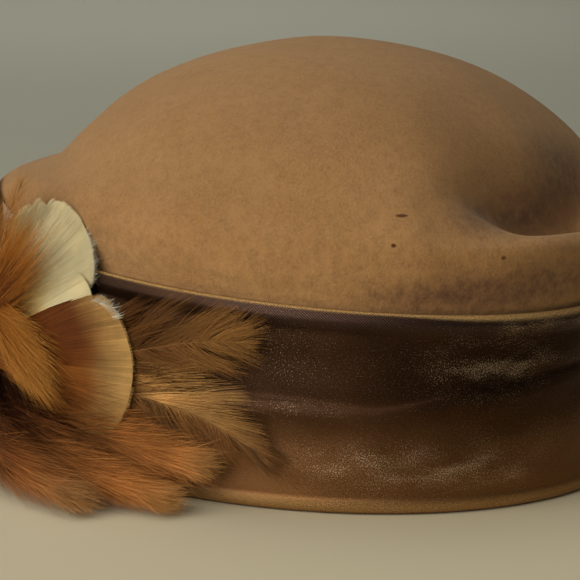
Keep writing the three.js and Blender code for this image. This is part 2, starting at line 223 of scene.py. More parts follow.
# %% The hat's oval
HEM_HALF = np.array([105.6, 85.0])
BAND_LEAN = 3.8
BAND_TOP = 56.4
TOP_HALF = HEM_HALF - BAND_LEAN
TOP_SLOPE = np.array([-0.0445, -0.0309])
SPRAY_ANGLE = np.radians(240.3)
SPRAY_HEIGHT = 31.0
ROUND_SAMPLES = 2881


def unit(vectors):
    """Vectors made one unit long."""
    return vectors / np.maximum(np.linalg.norm(vectors, axis=-1, keepdims=True), 1e-9)


def smooth(x, low, high):
    """0 below low, 1 above high, smooth between."""
    t = np.clip((x - low) / (high - low), 0, 1)
    return t * t * (3 - 2 * t)


def oval(angle, height, out):
    """Point of the hat, in millimetres from its axis."""
    lean = BAND_LEAN * np.clip(height / BAND_TOP, 0, 1)
    x = (HEM_HALF[0] - lean + out) * np.cos(angle)
    y = (HEM_HALF[1] - lean + out) * np.sin(angle)
    return np.stack(np.broadcast_arrays(x, y, height), axis=-1)


def outward(angle):
    """Unit normal of the oval, level with the floor."""
    x = np.cos(angle) / HEM_HALF[0]
    y = np.sin(angle) / HEM_HALF[1]
    size = np.hypot(x, y)
    return np.stack([x / size, y / size, np.zeros_like(size)], axis=-1)


def band_top(angle):
    """Height of the band's top edge, which slopes a little."""
    along_hat = TOP_SLOPE[0] * TOP_HALF[0] * np.cos(angle)
    across_hat = TOP_SLOPE[1] * TOP_HALF[1] * np.sin(angle)
    return BAND_TOP + along_hat + across_hat


turns = np.linspace(-np.pi, np.pi, ROUND_SAMPLES)
run = np.hypot(TOP_HALF[0] * np.sin(turns + SPRAY_ANGLE), TOP_HALF[1] * np.cos(turns + SPRAY_ANGLE))
lengths = np.concatenate([[0], np.cumsum((run[1:] + run[:-1]) / 2 * np.diff(turns))])
lengths -= np.interp(0, turns, lengths)


def angle_at(along):
    """Angle on the oval that lies this many millimetres along the band from the spray."""
    return SPRAY_ANGLE + np.interp(along, lengths, turns)


def curve(points, count):
    """Smooth curve through rows of points, count samples from the first row to the last."""
    points = np.asarray(points, float)
    padded = np.concatenate([[2 * points[0] - points[1]], points, [2 * points[-1] - points[-2]]])
    place = np.linspace(0, len(points) - 1, count)
    row = np.minimum(place.astype(int), len(points) - 2)
    t = (place - row).reshape(-1, *([1] * (points.ndim - 1)))
    a, b, c, d = (padded[row + k] for k in range(4))
    return 0.5 * (2 * b + (c - a) * t + (2 * a - 5 * b + 4 * c - d) * t**2 + (3 * b - a - 3 * c + d) * t**3)


def mesh_object(name, points, faces, finish):
    """A plain mesh object from points in millimetres and faces, at the origin, ready to ride."""
    mesh = bpy.data.meshes.new(name)
    mesh.from_pydata((np.asarray(points) * MM + HAT_AXIS).tolist(), [], [list(face) for face in faces])
    mesh.polygons.foreach_set("use_smooth", [True] * len(mesh.polygons))
    mesh.materials.append(finish)
    return add_object(name, mesh)


def set_attributes(mesh, values_by_name):
    """Stores arrays on a mesh's points: rows of three as vectors, plain rows as numbers."""
    for name, values in values_by_name.items():
        kind, field = ("FLOAT_VECTOR", "vector") if values.ndim == 2 else ("FLOAT", "value")
        mesh.attributes.new(name, kind, "POINT").data.foreach_set(field, values.astype(np.float32).ravel())


def grid_faces(rows, columns, start=0, wrap=True):
    """Quads of a grid whose points run row by row, closed round where it wraps."""
    i, j = np.meshgrid(np.arange(rows - 1), np.arange(columns if wrap else columns - 1), indexing="ij")
    k = (j + 1) % columns
    here, above = i * columns, (i + 1) * columns
    quads = np.stack([here + j, here + k, above + k, above + j], axis=-1)
    return quads.reshape(-1, 4) + start


print("band is", round(lengths[-1] - lengths[0]), "mm round at its top edge")

# %% [markdown]
# The felt. Real felt is a mat of short fibres: matt, softly mottled, paler where the nap stands up, with a
# fine grain that catches side light. It could be one colour with a bump map, but then the dome looks like
# plastic. Here two sizes of noise mottle the colour, a third makes the grain, and a sheen lights the rim.
# The lower felt is painted paler, a painted bounce of light from the floor, with coarser mottle and grain.
# Short tables place three small moth nips with the shade in each hole painted dark, patches of painted
# shade at the dented end, and patches of painted light and shade elsewhere on the felt.

# %% Felt finish
FELT_SHADE = (0.290, 0.143, 0.046)
FELT_LIGHT = (0.334, 0.173, 0.062)
FELT_FLECK = (0.205, 0.098, 0.035)
FELT_FIBRE = (0.40, 0.235, 0.105)
# Colour of the painted shade at the dented end.
PAINTED_SHADE_BROWN = (0.115, 0.052, 0.030)
# Painted shade inside the moth nips' holes.
PAINTED_HOLE_SHADE = (0.050, 0.007, 0.002)
SHEEN_TINT = (0.9, 0.72, 0.5, 1.0)
Patch = namedtuple("Patch", "strength x y z wide tall")
NIPS = [
    Patch(0.8, 76.0, -46.9, 80.25, 1.8, 0.45),
    Patch(0.9, 77.4, -51.8, 73.0, 0.9, 0.7),
    Patch(0.8, 97.7, -30.4, 69.2, 0.9, 0.75),
]
# Painted shade: darker patches in and around the dented end.
PAINTED_SHADE_PATCHES = [
    Patch(1.4, 100.0, -19.0, 60.5, 30.0, 7.5),
    Patch(1.4, 88.0, -42.0, 58.5, 26.0, 6.5),
    Patch(1.4, 84.5, -25.0, 77.5, 13.0, 5.5),
    Patch(1.4, 82.0, 0.0, 76.0, 20.0, 9.0),
    Patch(1.4, 78.0, 26.0, 84.0, 22.0, 14.0),
]
# Painted light and shade: felt painted paler, or darker where the strength is below zero.
PAINTED_LIGHT_AND_SHADE = [
    Patch(0.12, 66.0, -54.0, 85.0, 34.0, 26.0),
    Patch(0.10, 24.0, -80.0, 66.0, 34.0, 13.0),
    Patch(-0.10, -54.0, -63.0, 79.0, 26.0, 16.0),
]


def felt_finish():
    made, graph, shader = material("camel_felt")
    place = graph.place()
    cloud = graph.noise(place, 45.0, detail=3.0)
    mottle = graph.noise(place, 330.0, detail=5.0, rough=0.7)
    grain = graph.noise(place, 1300.0, detail=5.0, rough=0.75)
    colour = graph.blend(cloud.step(0.3, 0.7), FELT_SHADE, FELT_LIGHT)
    # Painted light: the lower felt is painted paler as a floor bounce, with coarser mottle and grain.
    painted_bounce_and_nap = 1.0 - graph.part(place, 2).step(0.062, 0.084)
    colour = colour * (1.0 + painted_bounce_and_nap * 0.18)
    colour = graph.blend((mottle - 0.5) * (2.2 + painted_bounce_and_nap * 0.5) + 0.25, colour, FELT_FLECK)
    colour = graph.blend((grain - 0.5) * 1.9 + 0.25, colour, FELT_FIBRE)
    # Patches of painted light and shade.
    for patch in PAINTED_LIGHT_AND_SHADE:
        near = 1.0 - graph.spot(place, patch).step(0.3, 1.2)
        colour = colour * (1.0 + near * patch.strength)
    # Painted shade at the dented end, broken up by the mottle.
    for patch in PAINTED_SHADE_PATCHES:
        near = 1.0 - graph.spot(place, patch).step(0.15, 1.3)
        colour = graph.blend(near * (mottle * patch.strength - 0.1), colour, PAINTED_SHADE_BROWN)
    # Each moth nip is painted dark: the shade inside its hole is painted.
    for patch in NIPS:
        near = 1.0 - graph.spot(place, patch).step(0.6, 1.2)
        colour = graph.blend(near * patch.strength, colour, PAINTED_HOLE_SHADE)
    bump = graph.bump(grain + mottle * (0.4 + painted_bounce_and_nap * 1.6), strength=0.5, distance=0.0007)
    feed(graph, shader, Base_Color=colour, Normal=bump, Roughness=0.95, Specular_IOR_Level=0.15)
    feed(graph, shader, Sheen_Weight=0.25, Sheen_Roughness=0.45, Sheen_Tint=SHEEN_TINT)
    return made


FELT = felt_finish()
print("felt nodes", len(FELT.node_tree.nodes))

# %% [markdown]
# The crown is one shell of felt, blocked over an oval form and then pressed: a shoulder stands at each end
# and a dent is pushed in behind the near one. A lathe can't make it, because it is no solid of revolution.
# So a short table gives rings from the felt's edge to the top, with extra columns for the two ends, and a
# smooth curve runs through the rings at every angle. The inner wall is the same surface set in by the
# felt's thickness. Four small moves finish the outside: a faint ridge above the band, a crease by the dent,
# and soft swellings beside the dent and behind the spray.

# %% Crown
Ring = namedtuple("Ring", "z width length dent_z dent_length back_z back_length tip shift")
CROWN_RINGS = [
    Ring(1.5, 82.3, 102.9, 1.5, 102.9, 1.5, 102.9, 0, 0),
    Ring(28.0, 80.3, 100.9, 28.0, 100.9, 28.0, 100.9, 0.5, 0),
    Ring(53.0, 78.5, 99.1, 53.0, 99.1, 53.0, 99.1, 1, 0),
    Ring(59.0, 79.4, 99.6, 58.5, 100.3, 58.5, 100.0, 1, 0),
    Ring(65.5, 81.6, 99.4, 66.0, 103.4, 65.0, 103.4, 0.8, 0),
    Ring(72.0, 82.6, 97.4, 72.8, 105.2, 71.5, 105.2, 0.6, 0.1),
    Ring(78.0, 82.0, 93.0, 75.0, 99.9, 76.5, 102.6, 0.4, 0.35),
    Ring(83.0, 80.6, 88.0, 68.8, 92.4, 79.5, 96.0, 0.2, 0.7),
    Ring(88.0, 77.7, 82.4, 68.0, 80.5, 84.0, 88.0, 0.1, 1),
    Ring(95.0, 71.5, 75.2, 85.5, 75.5, 93.0, 78.0, 0, 1),
    Ring(103.0, 61.6, 64.9, 97.4, 68.0, 102.5, 65.5, 0, 1),
    Ring(110.0, 49.9, 52.5, 108.5, 53.7, 110.0, 52.5, 0, 1),
    Ring(115.5, 36.4, 38.3, 115.3, 38.3, 115.5, 38.3, 0, 1),
    Ring(119.0, 22.8, 24.0, 119.0, 24.0, 119.0, 24.0, 0, 1),
    Ring(120.7, 11.0, 11.6, 120.7, 11.6, 120.7, 11.6, 0, 1),
]
DOME_SHIFT = (4.5, 3.8)
CROWN_TOP = 121.2
FELT_WALL = 2.4
SHOULDER_FADE = (14, 52)
TROUGH_FADE = (7, 37)
TROUGH_TURN = 5.0
TROUGH_FROM = 80.0
BACK_FADE = (40, 72)
CROWN_AROUND = 224
CROWN_UP = 96
WAVE_DEPTH = 0.22
RIDGE_OUT = 0.45
CREASE_IN = 0.8
CHEEK_OUT = 0.9
BULGE_OUT = 3.4


def crown_ring(ring, angle):
    """One ring at every angle: its side row, faded into the dent at the front and the shoulder behind."""
    in_trough = ring.z > TROUGH_FROM
    turned = angle - np.radians(TROUGH_TURN if in_trough else 0.0)
    off = np.degrees(np.arctan2(np.abs(np.sin(turned)), np.abs(np.cos(turned))))
    at_dent = np.cos(angle) > 0
    front_fade = smooth(off, *(TROUGH_FADE if in_trough else SHOULDER_FADE))
    end = 1 - np.where(at_dent, front_fade, smooth(off, *BACK_FADE))
    length = ring.length + end * (np.where(at_dent, ring.dent_length, ring.back_length) - ring.length)
    height = ring.z + end * (np.where(at_dent, ring.dent_z, ring.back_z) - ring.z)
    x = length * np.cos(angle) + DOME_SHIFT[0] * ring.shift
    y = ring.width * np.sin(angle) + DOME_SHIFT[1] * ring.shift
    return np.stack([x, y, height + (band_top(angle) - BAND_TOP) * ring.tip], axis=-1)


def soft_waves(points, seed, longest, shortest, count=14):
    """Slow waves through space, about -1 to 1, to take the stiffness out of a drawn surface."""
    chance = np.random.default_rng(seed)
    total = np.zeros(points.shape[:-1])
    for _ in range(count):
        way = chance.normal(size=3)
        way *= 2 * np.pi / (np.linalg.norm(way) * chance.uniform(shortest, longest))
        total += np.sin(points @ way + chance.uniform(0, 2 * np.pi))
    return total / np.sqrt(count)


def surface_normals(points):
    """Normals of a grid of rings, pointing out."""
    around = np.roll(points, -1, axis=1) - np.roll(points, 1, axis=1)
    upward = np.gradient(points, axis=0)
    return unit(np.cross(around, upward))


crown_angles = np.linspace(0, 2 * np.pi, CROWN_AROUND, endpoint=False)
ring_rows = [crown_ring(ring, crown_angles) for ring in CROWN_RINGS]
ring_rows.append(np.broadcast_to([*DOME_SHIFT, CROWN_TOP], ring_rows[0].shape))
felt_outer = curve(ring_rows, CROWN_UP)
felt_normals = surface_normals(felt_outer)
above_band = smooth(felt_outer[..., 2], 58, 70)[..., None]
waves = soft_waves(felt_outer, seed=3, longest=60, shortest=22)[..., None]
felt_outer = felt_outer + felt_normals * above_band * WAVE_DEPTH * waves
felt_turn = np.degrees(crown_angles)[None]
felt_height = felt_outer[..., 2]


def mound(turn, wide, height, tall):
    """A soft mound on the felt, 1 at its middle, placed by its turn in degrees and its height."""
    return np.exp(-(((felt_turn - turn) / wide) ** 2) - ((felt_height - height) / tall) ** 2)


crease = smooth(felt_turn, 325, 329) * (1 - smooth(felt_turn, 331, 350))
crease = crease * smooth(felt_height, 60, 68) * (1 - smooth(felt_height, 80, 90))
ridge = np.exp(-(((felt_height - 74) / 3.2) ** 2)) * smooth(felt_turn, 255, 275)
ridge = ridge * (1 - smooth(felt_turn, 322, 328))
cheek = mound(327, 7, 75, 9)
bulge = mound(222, 11, 73, 8)
push_out = RIDGE_OUT * ridge - CREASE_IN * crease + CHEEK_OUT * cheek
felt_outer = felt_outer + felt_normals * push_out[..., None]
felt_outer = felt_outer + felt_normals * (1, 1, 0) * (BULGE_OUT * bulge)[..., None]
felt_inner = felt_outer - felt_normals * FELT_WALL
felt_inner[0, :, 2] = felt_outer[0, :, 2]


def crown_mesh():
    """The shell and its inner wall, closed at the top and round the lower edge."""
    outer = felt_outer[:-1].reshape(-1, 3)
    inner = felt_inner[:-1].reshape(-1, 3)
    tops = np.array([[*DOME_SHIFT, CROWN_TOP], [*DOME_SHIFT, CROWN_TOP - FELT_WALL]])
    points = np.concatenate([outer, inner, tops])
    rows = CROWN_UP - 1
    below = len(outer)
    shell = grid_faces(rows, CROWN_AROUND).tolist()
    lining = grid_faces(rows, CROWN_AROUND, below)[:, ::-1].tolist()
    i = np.arange(CROWN_AROUND)
    j = (i + 1) % CROWN_AROUND
    last = (rows - 1) * CROWN_AROUND
    top = np.full_like(i, len(points) - 2)
    cap = np.stack([last + i, last + j, top], axis=-1).tolist()
    under = np.stack([below + last + j, below + last + i, top + 1], axis=-1).tolist()
    edge = np.stack([j, i, below + i, below + j], axis=-1).tolist()
    return mesh_object("felt_crown", points, shell + lining + cap + under + edge, FELT)


felt_crown = crown_mesh()
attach(felt_crown, "root")
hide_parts("crown")
print("crown faces", len(felt_crown.data.polygons), "top", round(felt_outer[..., 2].max(), 1))

# %% [markdown]
# The satin is a brown cloth woven in a fine twill with a metallic thread, so it is dark where it faces the
# dark room and golden where it turns to the light, and rubbed places glitter. Some light is painted too:
# gold on the top edge and the hem, a paler lit twill on the rolled edge and along the fold, cut back where
# the feathers shade it, and a brighter lower tier for the pale floor it reflects. The diagonal lines need
# the cloth's own directions, so the band carries a UV map in metres: round the head, and across the strip.
# The rubbed places are a short table, because the photograph shows where they are.

# %% Satin finish
TWILL_PITCH = 0.00076
CLOTH_DRAWN = (1.0, 2.6, 1.0)
SATIN_DARK = (0.023, 0.009, 0.003)
SATIN_LIGHT = (0.044, 0.018, 0.007)
# Painted reflection: the lower tier is painted brighter for the pale floor it reflects.
PAINTED_FLOOR_REFLECTION = (0.185, 0.083, 0.028)
HATCH_DARK = (0.009, 0.0045, 0.0035)
# Painted highlight for the lit twill of the rolled edge and the fold.
HATCH_PAINTED_LIGHT = (0.089, 0.049, 0.036)
# Painted light: gold for the top edge's highlight and the hem's light from the floor.
PAINTED_EDGE_GOLD = (0.92, 0.57, 0.21)
GLINT = (0.80, 0.58, 0.38)
RUBBED = [
    Patch(0.85, 96.0, -31.0, 39.0, 31.0, 11.0),
    Patch(0.8, 80.0, -53.0, 13.0, 42.0, 9.0),
    Patch(0.4, 96.0, -34.0, 9.5, 22.0, 5.0),
    Patch(0.45, 58.0, -69.0, 28.5, 22.0, 3.0),
    Patch(0.2, 64.0, -66.0, 40.0, 24.0, 9.0),
    Patch(0.9, 100.0, -12.0, 51.0, 34.0, 4.5),
]


def satin_finish():
    made, graph, shader = material("bronze_satin")
    cloth = graph.make("ShaderNodeUVMap", {"uv_map": "cloth"})
    place = graph.place()
    wobble = graph.noise(place, 160.0)
    diagonal = (graph.part(cloth, 0) + graph.part(cloth, 1) + wobble * 0.0004) * (2 * np.pi / TWILL_PITCH)
    twill = graph.make("ShaderNodeMath", {"operation": "SINE"}, {0: diagonal})
    cloud = graph.noise(place, 38.0, detail=3.0)
    speck = graph.noise(cloth, 2700.0, rough=0.75)
    rubbed_and_highlit = graph.noise(place, 30.0).step(0.5, 0.85) * 0.3
    drawn = cloth * CLOTH_DRAWN
    scuff = graph.noise(drawn, 90.0).step(0.15, 0.8)
    for patch in RUBBED:
        near = 1.0 - graph.spot(place, patch).step(0.1, 1.25)
        rubbed_and_highlit = rubbed_and_highlit + near * scuff * patch.strength
    glint = (speck + rubbed_and_highlit * 0.25 + 0.02).step(0.64, 0.86)
    # The top edge and the hem are painted gold: a painted highlight on the edge, painted floor light on the
    # hem.
    painted_gold_light = graph.mark("painted_gold_light")
    # Painted reflection of the floor on the lower tier.
    low = 1.0 - graph.part(place, 2).step(0.006, 0.034)
    colour = graph.blend(cloud.step(0.25, 0.75), SATIN_DARK, SATIN_LIGHT)
    colour = graph.blend(low * 0.8, colour, PAINTED_FLOOR_REFLECTION)
    # Painted highlight: the rolled edge and a strip along the fold get a paler twill, as if lit.
    lit_twill_painted = graph.blend(twill * 0.5 + 0.5, HATCH_DARK, HATCH_PAINTED_LIGHT)
    colour = graph.blend(graph.mark("roll") * 0.9, colour, lit_twill_painted)
    colour = graph.blend(painted_gold_light * (0.3 + speck.step(0.42, 0.6) * 0.6), colour, PAINTED_EDGE_GOLD)
    weave = graph.noise(drawn, 1100.0, detail=3.0, rough=0.7)
    colour = colour * (0.1 + weave * 1.8 + twill * 0.2)
    colour = graph.blend(glint * 0.7, colour, GLINT)
    bump = graph.bump(twill * 0.3 + speck, strength=0.3, distance=0.0002)
    rough = 0.40 + painted_gold_light * 0.1 - glint * 0.08
    metal = glint * 0.15 + 0.8 - painted_gold_light * 0.45
    feed(graph, shader, Base_Color=colour, Normal=bump, Roughness=rough, Metallic=metal)
    feed(graph, shader, Specular_IOR_Level=0.2)
    return made


SATIN = satin_finish()
print("satin nodes", len(SATIN.node_tree.nodes))

# %% [markdown]
# The band is a strip of that satin laid round the felt in two tiers: the upper one is smooth with a rolled
# top edge, and the lower one is folded over it with the fold facing up. A cloth simulation would lose the
# fold's line, so the section is drawn as a table, measured from the floor, the fold line or the top edge,
# and swept round the oval. The fold is pressed sharp by the feathers and opens to a soft swell away from
# them, so the fold rows have a second, softer shape. Slow waves then pull the cloth a little out of true.

# %% Band
BandRow = namedtuple("BandRow", "base up out soft_up soft_out")
BAND_SECTION = [
    BandRow("floor", 0.0, -2.2, 0.0, -2.2),
    BandRow("floor", 0.0, -1.3, 0.0, -1.3),
    BandRow("floor", 0.7, -0.4, 0.7, -0.4),
    BandRow("floor", 1.9, 0.05, 1.9, 0.05),
    BandRow("floor", 3.4, 0.1, 3.4, 0.1),
    BandRow("floor", 4.4, -0.15, 4.4, -0.1),
    BandRow("floor", 6.0, -0.1, 6.0, -0.1),
    BandRow("floor", 15.0, 0.2, 15.0, 0.3),
    BandRow("fold", -6.0, 0.1, -7.0, 0.4),
    BandRow("fold", -1.2, 0.5, -3.6, 0.7),
    BandRow("fold", 0.2, 0.2, -1.6, 0.5),
    BandRow("fold", 0.2, -0.4, -0.2, 0.1),
    BandRow("fold", -1.2, -0.9, 1.0, -0.4),
    BandRow("fold", -0.6, -1.1, 2.2, -0.7),
    BandRow("fold", 3.0, -0.7, 4.4, -0.75),
    BandRow("top", -11.0, -0.5, -11.0, -0.5),
    BandRow("top", -6.6, -0.7, -6.6, -0.7),
    BandRow("top", -4.8, -0.15, -4.8, -0.15),
    BandRow("top", -2.8, 0.4, -2.8, 0.4),
    BandRow("top", -0.9, -0.1, -0.9, -0.1),
    BandRow("top", 0.0, -1.1, 0.0, -1.1),
    BandRow("top", -0.8, -2.2, -0.8, -2.2),
    BandRow("top", -6.0, -2.4, -6.0, -2.4),
    BandRow("floor", 28.0, -2.4, 28.0, -2.4),
]
FOLD_LINE = {0: 35.6, 60: 34.0, 120: 31.0, 180: 29.0, 240: 27.5, 300: 30.2, 316: 28.6, 334: 32.9, 360: 35.6}
FOLD_SWELL = {0: 0.6, 60: 0.9, 180: 1.0, 300: 1.0, 322: 0.55, 345: 0.55, 360: 0.6}
FOLD_MEAN = -0.05
FOLD_SOFT = {0: 0.8, 60: 0.8, 120: 0.5, 180: 0.4, 250: 0.5, 292: 0.85, 334: 0.75, 360: 0.8}
CREASE = {0: 27.0, 330: 21.0, 340: 24.0, 348: 26.0, 360: 27.0}
BAND_AROUND = 420
ROW_STEPS = 4
BAND_WAVE = 0.3
LOWER_WAVE = 0.16
CREASE_VALLEY = 0.55
CREASE_RIDGE = 0.35


def round_table(table, angle):
    """Value at an angle from a table in degrees, eased from row to row."""
    turn_deg = np.degrees(angle) % 360
    places, values = np.array(list(table)), np.array(list(table.values()))
    k = np.clip(np.searchsorted(places, turn_deg, side="right") - 1, 0, len(places) - 2)
    return values[k] + (values[k + 1] - values[k]) * smooth(turn_deg, places[k], places[k + 1])


def towards(angle, turn, low, high):
    """1 where the band faces this turn in degrees, fading between two cosines of the angle off it."""
    return smooth(np.cos(angle - np.radians(turn)), low, high)


def band_section(angle, bases):
    """Heights and distances out of the drawn section, row by row, at every angle."""
    soft, swell = round_table(FOLD_SOFT, angle), round_table(FOLD_SWELL, angle)
    rows = []
    for row in BAND_SECTION:
        up = row.up + (row.soft_up - row.up) * soft
        out = row.out + (row.soft_out - row.out) * soft
        if row.base == "fold":
            out = FOLD_MEAN + (out - FOLD_MEAN) * swell
        rows.append([bases[row.base] + up, out])
    fine = curve([rows[-2], rows[-1], *rows, *rows[:3]], ROW_STEPS * (len(rows) + 4) + 1)
    return np.moveaxis(fine[2 * ROW_STEPS : ROW_STEPS * (len(rows) + 2)], 1, 0)


def band_push(angle, points, height, bases):
    """How far the cloth is pulled out of true: slow waves, finer ones on the lower tier, and one crease."""
    slow = soft_waves(points * np.array([0.3, 0.3, 1.0]), seed=8, longest=34, shortest=11)
    fine = soft_waves(points * np.array([0.5, 0.5, 1.0]), seed=9, longest=13, shortest=6)
    lower_tier = 1 - smooth(height - bases["fold"], -8, -2)
    push = BAND_WAVE * slow + LOWER_WAVE * lower_tier * fine
    off = height - round_table(CREASE, angle)
    valley = CREASE_VALLEY * np.exp(-((off / 1.3) ** 2))
    ridge = CREASE_RIDGE * np.exp(-(((off + 3.0) / 2.4) ** 2))
    return push - towards(angle, 352, 0.9, 0.97) * (valley - ridge)


def band_marks(angle, height, out, bases):
    """Painted gold light on the top edge and hem, and the painted lit twill on the roll and along the fold.
    """
    under = height - bases["top"]
    outside = smooth(out, -1.9, -1.0)
    # The painted highlight on the top edge reaches further down near the front end.
    rubbed_and_highlit = towards(angle, 5, 0.7, 0.95)
    painted_gold_light = smooth(under, -0.7 - 1.5 * rubbed_and_highlit, -0.2 - 0.4 * rubbed_and_highlit) * outside
    # Painted floor light: a gold strip along the hem.
    hem = (1 - smooth(height, 2.0, 5.0)) * smooth(out, -0.8, -0.3)
    # Painted highlight on the rolled edge, less of it beside the spray as painted shade from the feathers.
    roll = smooth(under, -6.8, -1.8) * outside
    roll = roll * (1 - 0.6 * towards(angle, 262, 0.80, 0.95))
    # Painted light: a faint lit strip of twill just under the fold near the spray.
    along_fold = np.exp(-(((height - bases["fold"] + 1.5) / 1.6) ** 2))
    roll = np.maximum(roll, 0.18 * towards(angle, 296, 0.93, 0.99) * along_fold)
    return {"painted_gold_light": np.maximum(painted_gold_light, 0.35 * hem).ravel(), "roll": roll.ravel()}


def cloth_map(points):
    """The cloth's own directions in metres at every face corner, and the run of cloth round the section."""
    steps = np.linalg.norm(np.diff(np.concatenate([points, points[:1]]), axis=0), axis=-1)
    across = np.concatenate([np.zeros((1, BAND_AROUND)), np.cumsum(steps, axis=0)])
    around = np.linspace(0, lengths[-1] - lengths[0], BAND_AROUND + 1)
    row, column = np.divmod(np.arange(steps.size), BAND_AROUND)
    corners = [(column, row), (column + 1, row), (column + 1, row + 1), (column, row + 1)]
    uv = np.stack([np.stack([around[c], across[r, c % BAND_AROUND]], axis=-1) for c, r in corners], axis=1)
    return (uv * MM).astype(np.float32).ravel(), across[-1].mean()


def band_mesh():
    """The band with its marks and cloth map, and the run of cloth round its section."""
    angle = np.linspace(0, 2 * np.pi, BAND_AROUND, endpoint=False)
    bases = {"floor": 0 * angle, "fold": round_table(FOLD_LINE, angle), "top": band_top(angle)}
    height, out = band_section(angle, bases)
    points = oval(angle[None, :], height, out)
    facing = smooth(out, -1.6, -0.9) * smooth(height, 5.0, 10.0) * smooth(bases["top"] - height, 3.5, 8.0)
    push = band_push(angle, points, height, bases) * facing
    points = points + outward(angle)[None] * push[..., None]
    points[..., 2] = np.maximum(points[..., 2], 0.0)
    quads = grid_faces(len(points) + 1, BAND_AROUND) % (len(points) * BAND_AROUND)
    made = mesh_object("satin_band", points.reshape(-1, 3), quads, SATIN)
    set_attributes(made.data, band_marks(angle, height, out, bases))
    uv, girth = cloth_map(points)
    made.data.uv_layers.new(name="cloth").data.foreach_set("uv", uv)
    return made, girth


satin_band, band_girth = band_mesh()
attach(satin_band, "root")
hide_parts("band")
band_girth * MM / 2
print("band section is", round(band_girth), "mm of cloth round both faces")

# %% [markdown]
# Feathers are thousands of barbs, each a narrow curved strip that leaves the quill sideways and bends to
# the tip. Placing each by hand is hopeless, and a painted sheet has no soft edge. So one Geometry Nodes
# tree draws every barb of the hat: it puts a flat strip on each point of a guide, and bends it along a
# curve from the point's root through its bend to its tip, all stored on the guide as attributes.


# %% Barb tree
def barb_tree():
    """A strip on each point of the guide, bent from its root through its bend to its tip."""
    tree = bpy.data.node_groups.new("barbs", "GeometryNodeTree")
    for name, kind in (("Guide", "Geometry"), ("Steps", "Int"), ("Width", "Float"), ("Finish", "Material")):
        tree.interface.new_socket(name, in_out="INPUT", socket_type="NodeSocket" + kind)
    tree.interface.new_socket("Barbs", in_out="OUTPUT", socket_type="NodeSocketGeometry")
    graph = Graph(tree)
    entry = tree.nodes.new("NodeGroupInput")
    guide, steps, width, finish = (Wire(graph, entry.outputs[k]) for k in range(4))
    grid = {"Size X": 1.0, "Size Y": 1.0, "Vertices X": steps, "Vertices Y": 2}
    strip = graph.make("GeometryNodeMeshGrid", None, grid)
    where = graph.make("GeometryNodeInputPosition")
    for name, axis, shift in (("reach", 0, 0.5), ("edge", 1, 0.0)):
        values = {"Geometry": strip, "Name": name, "Value": graph.part(where, axis) + shift}
        strip = graph.make("GeometryNodeStoreNamedAttribute", {"data_type": "FLOAT"}, values)
    placed = graph.make("GeometryNodeInstanceOnPoints", None, {"Points": guide, "Instance": strip})
    loose = graph.make("GeometryNodeRealizeInstances", None, {0: placed})

    def read(name, kind="FLOAT_VECTOR"):
        return graph.make("GeometryNodeInputNamedAttribute", {"data_type": kind}, {"Name": name})

    u, v = read("reach", "FLOAT"), read("edge", "FLOAT")
    back = 1.0 - u
    spot = read("root") * (back * back) + read("bend") * (u * back * 2.0) + read("tip") * (u * u)
    spot = spot + read("wide") * (v * width * (1.0 - u * u * 0.75))
    shaped = graph.make("GeometryNodeSetPosition", None, {"Geometry": loose, "Position": spot})
    dressed = graph.make("GeometryNodeSetMaterial", None, {"Geometry": shaped, "Material": finish})
    leave = tree.nodes.new("NodeGroupOutput")
    tree.links.new(dressed.socket, leave.inputs[0])
    return tree


BARBS = barb_tree()


def draw_barbs(name, guide, finish, width, steps=6):
    """Runs the tree on a guide, a dict of arrays with a row for each barb, and keeps a plain mesh."""
    placed = {key: guide[key] * MM + HAT_AXIS for key in ("root", "bend", "tip")}
    holder = bpy.data.meshes.new(name + "_guide")
    holder.from_pydata(placed["root"].tolist(), [], [])
    set_attributes(holder, {**guide, **placed})
    source = add_object(name + "_guide", holder)
    modifier = source.modifiers.new("barbs", "NODES")
    modifier.node_group = BARBS
    values = {"Steps": steps, "Width": width * MM, "Finish": finish}
    for item in BARBS.interface.items_tree:
        if item.in_out == "INPUT" and item.name in values:
            modifier[item.identifier] = values[item.name]
    bpy.context.view_layer.update()
    depsgraph = bpy.context.evaluated_depsgraph_get()
    mesh = bpy.data.meshes.new_from_object(
        source.evaluated_get(depsgraph), preserve_all_data_layers=True, depsgraph=depsgraph
    )
    mesh.name = name
    source.modifiers.clear()
    bpy.data.objects.remove(source)
    mesh.polygons.foreach_set("use_smooth", [True] * len(mesh.polygons))
    print(name, len(guide["root"]), "barbs,", 2 * len(mesh.polygons), "triangles")
    return add_object(name, mesh)


print("barb tree nodes", len(BARBS.nodes))

# %% [markdown]
# Feather colours follow the feather, not the space it lies in: dark or fluffy at the quill's foot, pale or
# burnished at the tip, with each barb a little different. The barbs carry that as attributes: how far up
# the quill they start, how far along the barb a point is, which side, and a tint of their own. A side tone
# colours one side of the foot: a blush on the cream feathers, and a painted shade on the tan pad where the
# tuft shades it. A rim lightens the outline, and soft patches vary the shade.


